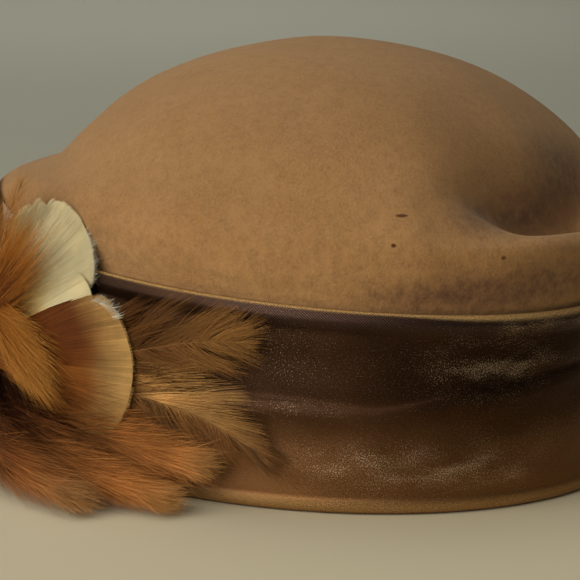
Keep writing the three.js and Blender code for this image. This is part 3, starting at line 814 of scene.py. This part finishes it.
# %% Feather finish
def feather_finish(name, foot, body, tip, streak, side_tone=None, rough=0.6, foot_ends=(0.15, 0.55),
                   tip_starts=(0.6, 1.0), side_tone_ends=(0.4, 0.85), contrast=0.3, patchy=0.0, rim=0.0):
    """Colours from the quill's foot to the tip, with a share of streak barbs and soft patches."""
    made, graph, shader = material(name)
    up, far, reach, tint, side = (graph.mark(label) for label in ("up", "far", "reach", "tint", "side"))
    lines = graph.make("ShaderNodeCombineXYZ", None, {0: up * 170.0, 1: reach * 2.5, 2: side * 7.0})
    grain = graph.noise(lines, 1.0, rough=0.6)
    grow = up + (far - up) * reach
    colour = graph.blend(grow.step(*foot_ends), foot, body)
    colour = graph.blend(grow.step(*tip_starts), colour, tip)
    if side_tone:
        share = (side * reach).step(-0.3, 0.5) * (1.0 - grow.step(*side_tone_ends)) * 0.85
        colour = graph.blend(share, colour, side_tone)
    if rim:
        share = reach.step(0.68, 1.0) * grow.step(0.74, 0.95) * rim
        colour = graph.blend(share, colour, tip)
    colour = graph.blend(tint.step(0.55, 1.0) * 0.7, colour, streak)
    ends = {1: 0.2, 2: 1.0, 3: 1.0 - contrast, 4: 1.0 + 0.8 * contrast}
    shade = graph.make("ShaderNodeMapRange", None, {0: tint * 0.7 + grain * 0.6, **ends})
    if patchy:
        shade = shade * (1.0 + (graph.noise(graph.place(), 110.0) - 0.5) * (2.0 * patchy))
    feed(graph, shader, Base_Color=colour * shade, Roughness=rough, Specular_IOR_Level=0.12)
    return made


# The cream foot is partly the feather's warm colour, partly painted light where the tuft shades it.
CREAM = feather_finish(
    "cream_feather", (0.92, 0.56, 0.14), (0.77, 0.62, 0.27), (0.80, 0.71, 0.43), (0.67, 0.52, 0.22),
    side_tone=(0.50, 0.25, 0.055), foot_ends=(0.4, 0.95), contrast=0.07, patchy=0.26,
)
# Painted shade: the tan pad's dark side tone is painted where the tuft shades its upper side.
TAN = feather_finish(
    "tan_feather", (0.12, 0.030, 0.004), (0.25, 0.082, 0.012), (0.54, 0.325, 0.105), (0.08, 0.020, 0.004),
    side_tone=(0.11, 0.027, 0.003), tip_starts=(0.95, 1.32), side_tone_ends=(0.85, 1.2),
    contrast=0.5, patchy=0.4, rim=0.75,
)
BRONZE = feather_finish(
    "bronze_feather", (0.15, 0.055, 0.012), (0.155, 0.061, 0.013), (0.31, 0.146, 0.036),
    (0.055, 0.018, 0.005), contrast=0.65,
)
GOLD = feather_finish(
    "golden_feather", (0.17, 0.066, 0.016), (0.20, 0.084, 0.021), (0.20, 0.090, 0.027), (0.09, 0.032, 0.008),
    side_tone=(0.76, 0.41, 0.125), side_tone_ends=(0.62, 1.05), contrast=0.65, patchy=0.5,
)
WISP = feather_finish(
    "wisp_feather", (0.28, 0.12, 0.03), (0.36, 0.18, 0.055), (0.38, 0.20, 0.07), (0.32, 0.13, 0.03),
)
# Painted shade: the plumes' near-black foot stands for the dark gap under the tuft.
RUST = feather_finish(
    "rust_feather", (0.034, 0.009, 0.003), (0.61, 0.235, 0.055), (0.48, 0.258, 0.080), (0.25, 0.076, 0.018),
    foot_ends=(0.46, 1.0), tip_starts=(0.85, 1.2), contrast=0.35, patchy=0.5,
)
# Painted shade in the foot, as on the other plumes.
DEEP_RUST = feather_finish(
    "deep_rust_feather", (0.034, 0.009, 0.003), (0.43, 0.152, 0.037), (0.43, 0.222, 0.075),
    (0.20, 0.060, 0.015), foot_ends=(0.46, 1.0), tip_starts=(0.8, 1.1), contrast=0.35, patchy=0.5,
)
ORANGE = feather_finish(
    "orange_feather", (0.13, 0.033, 0.004), (0.41, 0.15, 0.02), (0.52, 0.25, 0.052), (0.26, 0.076, 0.01),
    contrast=0.35,
)
DOWN = feather_finish(
    "white_down", (0.62, 0.54, 0.38), (0.66, 0.60, 0.44), (0.70, 0.65, 0.50), (0.58, 0.50, 0.34),
)
print("feather finishes ready")

# %% [markdown]
# Each feather is a row of stations along its quill: how far along the band, how high, how far out, and how
# wide the vane is there. A barb starts on the quill and ends on the vane's outline nearer the tip. Near the
# tip the outline rounds off, so the last barbs point forward. The class below holds that rule, so the close
# sheet of a pad and the loose barbs on it share one shape.

# %% Feather shape
Station = namedtuple("Station", "along height out half")
QUILL_FOOT = 0.03
QUILL_SAMPLES = 241
LEAST_HALF = 0.6
TIP_EASE = 0.35
TIP_ROUND = 0.65
BEND_FORWARD = 0.36
BEND_ACROSS = 0.62
FLOOR_CLEAR = 0.5
BAND_CLEAR = 1.1
LAYER_FIRST = 2.1
LAYER_STEP = 1.75
LAYER_RISE = 3.0


def on_hat(spots):
    """Places given as millimetres along the band, up and out, kept off the floor and the cloth."""
    out = np.maximum(spots[..., 2], BAND_CLEAR)
    return oval(angle_at(spots[..., 0]), np.maximum(spots[..., 1], FLOOR_CLEAR), out)


class Vane:
    """One feather: its quill, its width, and the path of a barb from the quill to the edge.

    Barbs lean by sweep towards the tip, which is rounded by cap and made narrow by point. They arch off
    the quill and droop at their ends, and gather crowds their feet together.
    """

    def __init__(self, stations, sweep, cap, arch, droop, point=1.0, gather=0.0):
        self.fine = curve([tuple(s) for s in stations], QUILL_SAMPLES)
        self.places = np.linspace(0, 1, QUILL_SAMPLES)
        self.sweep, self.cap, self.point, self.gather = sweep, cap, point, gather
        self.arch, self.droop = arch, droop

    def spine(self, t):
        """The quill's place, this share of the way from foot to tip."""
        return np.stack([np.interp(t, self.places, self.fine[:, k]) for k in range(3)], axis=-1)

    def half(self, t):
        """Half of the vane's width there."""
        return np.interp(t, self.places, np.maximum(self.fine[:, 3], LEAST_HALF))

    def ahead(self, t):
        """The quill's direction there, seen flat on the band."""
        return unit((self.spine(np.minimum(t + 0.01, 1)) - self.spine(np.maximum(t - 0.01, 0)))[..., :2])

    def foot(self, start):
        """Where a barb leaves the quill: gathered towards the foot on a fan."""
        return start * (1 - self.gather)

    def far(self, start):
        """How far up the quill a barb's tip lies."""
        return start + self.sweep * (1 - TIP_EASE * start)

    def barb(self, start, side, pull=0.0, size=1.0, lift=0.0, drift=0.0):
        """Root, bend and tip of barbs that start this far up the quill, in the band's own measures."""
        end = self.far(start) + pull
        start = self.foot(start)
        inside = np.minimum(end, 1.0)
        past = np.clip((end - 1.0) / (TIP_ROUND * self.sweep), 0, 1) * np.pi / 2
        foot, foot_to = self.spine(start), self.ahead(start)
        edge, edge_to = self.spine(inside), self.ahead(inside)
        reach = self.half(inside) * np.maximum(np.cos(past), 0) ** self.point * size
        across = np.stack([-edge_to[..., 1], edge_to[..., 0]], axis=-1) * np.asarray(side)[..., None]
        tip = edge.copy()
        tip[..., :2] += across * reach[..., None] + edge_to * (self.cap * np.sin(past) * size)[..., None]
        tip[..., 2] += lift + drift - self.droop * np.abs(size)
        step = tip[..., :2] - foot[..., :2]
        forward = (step * foot_to).sum(-1, keepdims=True) * foot_to
        bend = (foot + tip) / 2
        bend[..., :2] = foot[..., :2] + BEND_FORWARD * forward + BEND_ACROSS * (step - forward)
        bend[..., 2] = (foot[..., 2] + edge[..., 2]) / 2 + self.arch + lift
        return foot, bend, tip


def loose_barbs(vane, count, seed, fray, locks, cling, flutter, roll=0.4, stray=0.012, curl=0.0, scatter=0.0,
                lock_tint=0.4, upper=1.0, lower=1.0):
    """Guide for the barbs on both sides of a quill: they cling in locks, flutter, and fray at the edge.

    Sines of the lock's number give each lock its own length, lift and shade.
    """
    chance = np.random.default_rng(seed)
    total = 2 * count
    side = np.repeat([-1.0, 1.0], count)
    start = QUILL_FOOT + (1 - QUILL_FOOT) * chance.uniform(0, 1, total)
    lock_number = np.floor(start * locks + side * 0.25)
    pull = cling * ((lock_number + 0.5 - side * 0.25) / locks - start) + chance.normal(0, stray, total)
    size = (1.04 - fray * chance.beta(1.0, 2.2, total)) * (1 + 0.5 * fray * np.sin(lock_number * 3.7 + side))
    size = size * np.where(side > 0, upper, lower)
    lift = flutter * (0.5 * np.sin(lock_number * 2.4 + side) + chance.normal(0, 0.45, total))
    drift = flutter * chance.normal(0, 0.8, total)
    root, bend, tip = vane.barb(start, side, pull, size, lift, drift)
    bend = bend + chance.normal(0, 1, (total, 3)) * curl
    tip = tip + chance.normal(0, 1, (total, 3)) * scatter
    root, bend, tip = (on_hat(spots) for spots in (root, bend, tip))
    normal = outward(angle_at(vane.spine(start)[:, 0]))
    wide = unit(np.cross(normal, tip - root)) + np.tan(chance.normal(0, roll, total))[:, None] * normal
    wide = unit(wide) * chance.uniform(0.55, 1.3, total)[:, None]
    lock_shade = 0.5 + 0.5 * np.sin(lock_number * 5.1 + side)
    tint = (1 - lock_tint) * chance.uniform(0, 1, total) + lock_tint * lock_shade
    marks = {"up": vane.foot(start), "far": vane.far(start), "side": side, "tint": tint}
    return {"root": root, "bend": bend, "tip": tip, "wide": wide, **marks}


def edge_down(vane, side, first, last, count, length, rise, seed):
    """Guide for the pale down that stands past the edge of a vane on one side."""
    chance = np.random.default_rng(seed)
    start = chance.uniform(first, last, count)
    paths = vane.barb(start, np.full(count, side), size=np.full(count, 0.97))
    _, bend, tip = (on_hat(spots) for spots in paths)
    way = unit(tip - bend)
    normal = outward(angle_at(vane.spine(start)[:, 0]))
    root = tip - way * 1.5 + normal * rise
    stray = chance.normal(0, 0.4, (count, 3))
    end = tip + unit(way + stray) * (length * chance.beta(1.2, 2.0, count))[:, None] + normal * 0.2
    wide = unit(np.cross(normal, way))
    marks = {"up": start, "far": start, "side": np.full(count, side), "tint": chance.uniform(0, 1, count)}
    return {"root": root, "bend": tip + normal * rise / 2, "tip": end, "wide": wide, **marks}


def close_vane(name, vane, finish, rows=90, columns=13):
    """The closed sheet of a pad, where the barbs hook together: a strip of barb paths on each side."""
    t = np.linspace(QUILL_FOOT, 1.0, rows)
    u = np.linspace(0, 1, columns)[None, :, None]
    points, faces = [], []
    marks = {key: [] for key in ("up", "far", "reach", "side", "tint")}
    for number, side in enumerate((-1.0, 1.0)):
        paths = vane.barb(t, np.full(rows, side), size=np.full(rows, 0.985))
        root, bend, tip = (on_hat(spots)[:, None] for spots in paths)
        sheet = root * (1 - u) ** 2 + bend * (2 * u * (1 - u)) + tip * u**2
        quads = grid_faces(rows, columns, number * rows * columns, wrap=False)
        faces.append(quads if side < 0 else quads[:, ::-1])
        points.append(sheet.reshape(-1, 3))
        flat = np.full(rows * columns, 1.0)
        values = (
            np.repeat(vane.foot(t), columns), np.repeat(vane.far(t), columns), np.tile(u.ravel(), rows),
            side * flat, 0.5 * flat,
        )
        for key, value in zip(marks, values):
            marks[key].append(value)
    made = mesh_object(name, np.concatenate(points), np.concatenate(faces), finish)
    set_attributes(made.data, {key: np.concatenate(values) for key, values in marks.items()})
    return made


def layered(layer, rows, tuck=0.0):
    """Stations of a pad: its height out comes from its layer and its distance from the bundle."""
    base = LAYER_FIRST + LAYER_STEP * layer
    made = []
    for along, height, half in rows:
        away = np.hypot(along, height - SPRAY_HEIGHT)
        rise = LAYER_RISE * (1 - np.exp(-away / 20)) - tuck * smooth(away, 15, 55)
        made.append(Station(along, height, base + rise, half))
    return made


print("feather rules ready")

# %% [markdown]
# Now the three kinds of feather. Broad pads have a closed sheet with fine barbs over it and a soft fringe.
# Long hackles lie on the band with barbs that part. Plumes are all loose barbs, in locks that stand apart.
# A pad has its finish, the rounding of its tip, its layer, and rows of how far along, how high and how wide
# it is. A hackle or plume has no layer, so each row also says how far out it lies.

# %% Feathers
PADS = {
    "pad_cream_back": (
        CREAM, 9, layered(3, [(2.8, 35.9, 1.6), (8.5, 42.5, 16.5), (17.5, 51.5, 22), (29, 61.4, 18.5)], 7),
    ),
    "pad_cream_low": (
        CREAM, 8, layered(4, [(4.9, 33.4, 1.4), (19, 40.5, 7), (32.5, 47, 9.8), (39, 49.8, 9.8)], 8),
    ),
    "pad_cream_front": (
        CREAM, 11.5, layered(5, [(4.2, 34.6, 1.6), (14.5, 46, 10), (24.2, 56.6, 14), (32.6, 64.6, 14.6)], 11),
    ),
    "pad_tan": (
        TAN, 12, layered(6, [(5.6, 31, 1.2), (20, 32.5, 6), (36, 34, 12), (49, 35, 17.5), (56, 35.3, 19)], 4),
    ),
    "pad_cream_left": (
        CREAM, 11, layered(3, [(-3.7, 35.2, 1.6), (-14, 48, 9), (-25, 60, 14), (-30, 66, 13)], 3),
    ),
    "pad_tan_left": (
        TAN, 11, layered(4, [(-5.6, 31, 1.8), (-20, 32, 9), (-36, 33, 14), (-48, 33, 14)], 2),
    ),
}
HACKLES = {
    "hackle_upper": [
        (5.4, 32.4, 3.9, 1.2), (30, 35, 6.5, 4.5), (58, 39, 8.5, 9), (82, 45, 6.5, 10), (98, 46.5, 4, 7),
    ],
    "hackle_lower": [
        (5.4, 29.8, 2.1, 1.2), (30, 29.3, 5.0, 5), (58, 29.3, 7.5, 10),
        (80, 27, 6.0, 10.5), (94, 21, 4.0, 8), (103, 15.5, 2.5, 3),
    ],
    "hackle_rising": [(0.4, 36.5, 5.2, 1.2), (4, 52, 7.5, 4), (12, 68, 10, 6.5), (24, 83, 10.5, 3)],
    "hackle_left": [(-5.4, 32.2, 2.1, 1.2), (-30, 36, 2.1, 6), (-56, 40, 2.1, 9), (-76, 43, 2.1, 5)],
}
HACKLE_KINDS = {"hackle_rising": (WISP, 260, 1.0), "hackle_lower": (GOLD, 1300, 1.3)}
HACKLE_PLAIN = (BRONZE, 1100, 1.0)
PLUMES = {
    "plume_right": [
        (4.8, 28.3, 5.6, 1.2), (20, 21, 7.5, 6), (42, 16, 9.5, 10.5), (66, 15, 8.5, 10.5), (88, 12.5, 6, 3),
    ],
    "plume_low": [
        (3.6, 27.1, 7.4, 1.2), (16, 17.5, 12.5, 6), (38, 11.5, 18, 8.5), (62, 8, 19, 6), (82, 4.5, 15.5, 2),
    ],
    "plume_front": [
        (1.6, 25.9, 9.1, 1.2), (9, 18, 17, 6), (24, 12, 24, 9), (46, 8.5, 28, 6.5), (66, 4.5, 28, 2),
    ],
    "plume_left": [
        (-3.8, 27.3, 5.6, 1.2), (-16, 19, 10, 6), (-36, 12.5, 15, 9), (-56, 9, 16, 6), (-72, 6.5, 14, 2),
    ],
}
HACKLE_QUILL = 0.3
PLUME_QUILL = 0.28
quill_lines = []


def keep(piece, node):
    """The piece rides on the hat's one body and stands for a solid, which is hidden."""
    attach(piece, "root")
    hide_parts(node)


vanes = {}
for number, (name, (finish, cap, stations)) in enumerate(PADS.items()):
    vanes[name] = Vane(stations, sweep=0.5, cap=cap, arch=0.0, droop=2.2, point=1.15, gather=0.6)
    keep(close_vane(name + "_sheet", vanes[name], finish), name)
    over = Vane(stations, sweep=0.5, cap=cap, arch=0.2, droop=2.0, point=1.15, gather=0.6)
    guide = loose_barbs(
        over, count=2000, seed=20 + number, fray=0.06, locks=11, cling=0.1, flutter=0.1,
        roll=0.12, lock_tint=0.1,
    )
    keep(draw_barbs(name + "_barbs", guide, finish, width=0.12), name)
for number, (name, rows) in enumerate(HACKLES.items()):
    vane = Vane([Station(*row) for row in rows], sweep=0.28, cap=5.0, arch=0.6, droop=0.2)
    finish, count, lower = HACKLE_KINDS.get(name, HACKLE_PLAIN)
    guide = loose_barbs(
        vane, count=count, seed=40 + number, fray=0.7, locks=13, cling=0.7, flutter=0.7,
        stray=0.03, curl=0.5, scatter=0.5, lock_tint=0.6, upper=1.15, lower=lower,
    )
    keep(draw_barbs(name + "_barbs", guide, finish, width=0.1), name)
    quill_lines.append((vane.fine[:, :3], HACKLE_QUILL))
for number, (name, rows) in enumerate(PLUMES.items()):
    vane = Vane([Station(*row) for row in rows], sweep=0.38, cap=2.5, arch=1.0, droop=0.4)
    guide = loose_barbs(
        vane, count=2700, seed=60 + number, fray=0.9, locks=19, cling=0.45, flutter=2.0,
        stray=0.08, curl=0.9, scatter=1.7,
    )
    finish = DEEP_RUST if name == "plume_front" else RUST
    keep(draw_barbs(name + "_barbs", guide, finish, width=0.12), name)
    quill_lines.append((vane.fine[:, :3], PLUME_QUILL))

# %% [markdown]
# White down stands past three edges: the upper edge of the tan pad, and the right edges of the front and
# low cream pads. Each row gives the pad, its side, where the down starts and ends on the quill, how many
# hairs there are, how long they are and how far they stand off.

# %% White down
DOWN_EDGES = {
    "down_tan": ("pad_tan", 1.0, 0.5, 0.77, 480, 4.2, 0.1),
    "down_cream": ("pad_cream_front", -1.0, 0.2, 0.95, 620, 3.8, 0.2),
    "down_cream_low": ("pad_cream_low", -1.0, 0.2, 0.9, 300, 3.8, 0.2),
}
for number, (name, (node, *where)) in enumerate(DOWN_EDGES.items()):
    guide = edge_down(vanes[node], *where, seed=80 + number)
    down = draw_barbs(name, guide, DOWN, width=0.09, steps=4)
    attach(down, "root")

# %% [markdown]
# A quill is a thin horn tube that tapers to nothing at the tip. One mesh holds them all, six sides each.


# %% Quills
QUILL_EVERY = 6
QUILL_TIP = 0.15
HORN = feather_finish(
    "quill_horn", (0.16, 0.07, 0.02), (0.20, 0.09, 0.028), (0.26, 0.13, 0.045), (0.12, 0.05, 0.014),
    rough=0.4,
)


def quill_mesh(lines, sides=6):
    """Closed tubes along the quills' lines, all in one mesh."""
    points, faces, shares = [], [], []
    turn_to = np.linspace(0, 2 * np.pi, sides, endpoint=False)[None, :, None]
    for line, girth in lines:
        line = on_hat(line[::QUILL_EVERY])
        way = unit(np.gradient(line, axis=0))
        first = unit(np.cross(way, [0.0, 0.0, 1.0]))
        second = np.cross(way, first)
        radius = (girth * np.linspace(1, QUILL_TIP, len(line)))[:, None, None]
        ring = line[:, None] + radius * (np.cos(turn_to) * first[:, None] + np.sin(turn_to) * second[:, None])
        first_point = sum(map(len, points))
        last_ring = first_point + sides * (len(line) - 1)
        faces += grid_faces(len(line), sides, first_point)[:, ::-1].tolist()
        faces.append([first_point + k for k in range(sides)])
        faces.append([last_ring + k for k in reversed(range(sides))])
        points.append(ring.reshape(-1, 3))
        shares.append(np.repeat(np.linspace(0, 1, len(line)), sides))
    made = mesh_object("quill_shafts", np.concatenate(points), faces, HORN)
    shares = np.concatenate(shares)
    set_attributes(made.data, {key: shares for key in ("up", "far", "reach", "tint", "side")})
    return made


quills = quill_mesh(quill_lines)
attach(quills, "root")
print("quill faces", len(quills.data.polygons))

# %% [markdown]
# The tuft is loose hair-like barbs in locks, and the same tree draws it. One table fans locks out from the
# middle of the spray: each hair starts near the bundle's end, lifts, and droops to its lock's tip. The other
# is one thick lock that is swept down over the tan pad. The fanned hairs are painted dark at the foot, a
# painted shade that gives the hollow in the middle. Each row gives a tip and the number of hairs.

# %% Tuft
FANNED_FROM = (0, SPRAY_HEIGHT, 16)
FANNED_TIPS = [
    (36, 48, 14, 50), (38, 33, 17, 160), (32, 40, 15.5, 140), (39, 58, 13.5, 60), (40, 65, 14, 230),
    (39, 71, 14, 240), (38, 76, 14, 210), (33, 73, 15, 290), (27, 68, 15.5, 320), (45, 73, 15, 60),
    (37, 90, 12, 35), (32, 87, 13, 50), (12, 68, 17, 300), (2, 58, 18, 300), (-16, 45, 18.5, 380),
    (-24, 31, 18.5, 380), (-14, 17, 19.5, 200), (4, 13, 23, 60), (24, 80, 14, 170), (19, 77, 15, 190),
]
SWEPT_FROM = (15, 47, 14)
SWEPT_TIPS = [
    (47, 25, 17.5, 520), (45.5, 28, 17.5, 520), (42, 33, 17, 480), (39, 38, 16.5, 420), (35, 43, 15.5, 300),
    (40, 27, 18, 420), (34, 30, 18, 380), (29, 34, 18, 300), (46, 38, 16, 200), (49, 32, 17, 260),
]
TIP_SPREAD = (2.6, 2.2, 0.9)
HAIR_ARCH = (0, 0, 1.5)


def tuft_guide(tips, centre, seed, first, last):
    """Guide for hairs from a centre to their locks' tips; first and last are the ends of their colours."""
    chance = np.random.default_rng(seed)
    centre = np.array(centre, float)
    rows = {key: [] for key in ("root", "bend", "tip", "wide", "up", "far", "side", "tint")}
    for along, height, out, hairs in tips:
        t = chance.uniform(0, 0.4, hairs)
        ends = np.array([along, height, out]) + chance.normal(0, 1, (hairs, 3)) * TIP_SPREAD
        ends = centre + (ends - centre) * chance.uniform(0.5, 1.05, (hairs, 1))
        feet = centre + t[:, None] * (ends - centre) + chance.normal(0, 1.0, (hairs, 3))
        middle = (feet + ends) / 2 + chance.normal(0, 0.9, (hairs, 3)) + HAIR_ARCH
        spots = [on_hat(p) for p in (feet, middle, ends)]
        wide = unit(np.cross(outward(angle_at(middle[:, 0])), spots[2] - spots[0]))
        marks = (t + first, np.full(hairs, last), np.ones(hairs), chance.uniform(0, 1, hairs))
        for key, value in zip(rows, (*spots, wide, *marks)):
            rows[key].append(value)
    return {key: np.concatenate(value) for key, value in rows.items()}


# The fanned hairs start far down their colours, so their dark foot is painted shade for the tuft's hollow.
fanned = tuft_guide(FANNED_TIPS, FANNED_FROM, seed=91, first=-0.9, last=0.8)
swept = tuft_guide(SWEPT_TIPS, SWEPT_FROM, seed=92, first=0.15, last=0.95)
hairs = {key: np.concatenate([fanned[key], swept[key]]) for key in fanned}
tuft = draw_barbs("orange_tuft", hairs, ORANGE, width=0.11)
keep(tuft, "tuft_orange")

# %% [markdown]
# The bound quill bundle keeps its solid, hidden under the tuft. It is dark horn wound with brown thread, so
# rings of noise stretched along the band give the turns of thread.

# %% Bundle
QUILL_DARK = (0.035, 0.014, 0.005)
THREAD_BROWN = (0.16, 0.070, 0.022)
THREAD_STRETCH = (0.15, 0.15, 1.0)


def thread_finish():
    made, graph, shader = material("bound_quills")
    wound = graph.noise(graph.place() * THREAD_STRETCH, 2600.0)
    colour = graph.blend(wound.step(0.35, 0.65), QUILL_DARK, THREAD_BROWN)
    bump = graph.bump(wound, strength=0.6, distance=0.0004)
    feed(graph, shader, Base_Color=colour, Normal=bump, Roughness=0.6)
    return made


bundle = bpy.data.objects["quill_bundle"]
bundle.data.materials.clear()
bundle.data.materials.append(thread_finish())
print("bundle finish", bundle.data.materials[0].name)

# %% [markdown]
# A plain pale floor and soft light. A wide soft window stands low in front and to the left, a weak one
# hangs overhead, a third lights only the floor far behind, and the room stays dim so the satin stays dark.

# %% Stage and light
FLOOR_NEAR = (0.64, 0.565, 0.385)
FLOOR_MIDDLE = (0.44, 0.43, 0.335)
FLOOR_FAR = (0.35, 0.345, 0.275)
ROOM_COLOUR = (0.30, 0.29, 0.25, 1.0)
ROOM_STRENGTH = 0.21
scene = bpy.context.scene
scene.view_settings.view_transform = "Standard"


def floor_finish():
    made, graph, shader = material("pale_floor")
    far = graph.make("ShaderNodeVectorMath", {"operation": "LENGTH"}, {0: graph.place()}, output="Value")
    colour = graph.blend(far.step(0.22, 0.5), FLOOR_NEAR, FLOOR_MIDDLE)
    colour = graph.blend(far.step(0.9, 2.4), colour, FLOOR_FAR)
    feed(graph, shader, Base_Color=colour, Roughness=0.6, Specular_IOR_Level=0.2)
    return made


bpy.ops.mesh.primitive_plane_add(size=40.0, location=(0, 0, -0.0002))
floor = bpy.context.object
floor.name = "floor"
floor.data.materials.append(floor_finish())


def soft_light(name, spot, aim, size, power, colour=(1, 1, 1), spread=180):
    """An area light at a place in the picture's directions (right, away, up), in metres."""
    data = bpy.data.lights.new(name, "AREA")
    data.size = size
    data.energy = power
    data.color = colour
    data.spread = np.radians(spread)
    place, target = (Vector(HAT_AXIS + to_hat(*p)) for p in (spot, aim))
    facing = (target - place).to_track_quat("-Z", "Y").to_matrix().to_4x4()
    add_object(name, data).matrix_world = Matrix.Translation(place) @ facing


soft_light("window", (-0.93, -0.92, 0.5), (0, 0, 0.05), size=1.9, power=30.5, colour=(1.0, 0.96, 0.9))
soft_light("overhead", (-0.1, 0.25, 1.3), (0, 0, 0.05), size=0.8, power=4.0)
soft_light("backdrop", (-0.3, 2.5, 1.7), (-0.3, 2.5, 0), 2.2, 14.0, colour=(1.0, 1.0, 0.97), spread=100)
world = bpy.data.worlds.new("room")
world.use_nodes = True
sky = world.node_tree.nodes["Background"]
sky.inputs["Color"].default_value = ROOM_COLOUR
sky.inputs["Strength"].default_value = ROOM_STRENGTH
scene.world = world
print("stage ready")
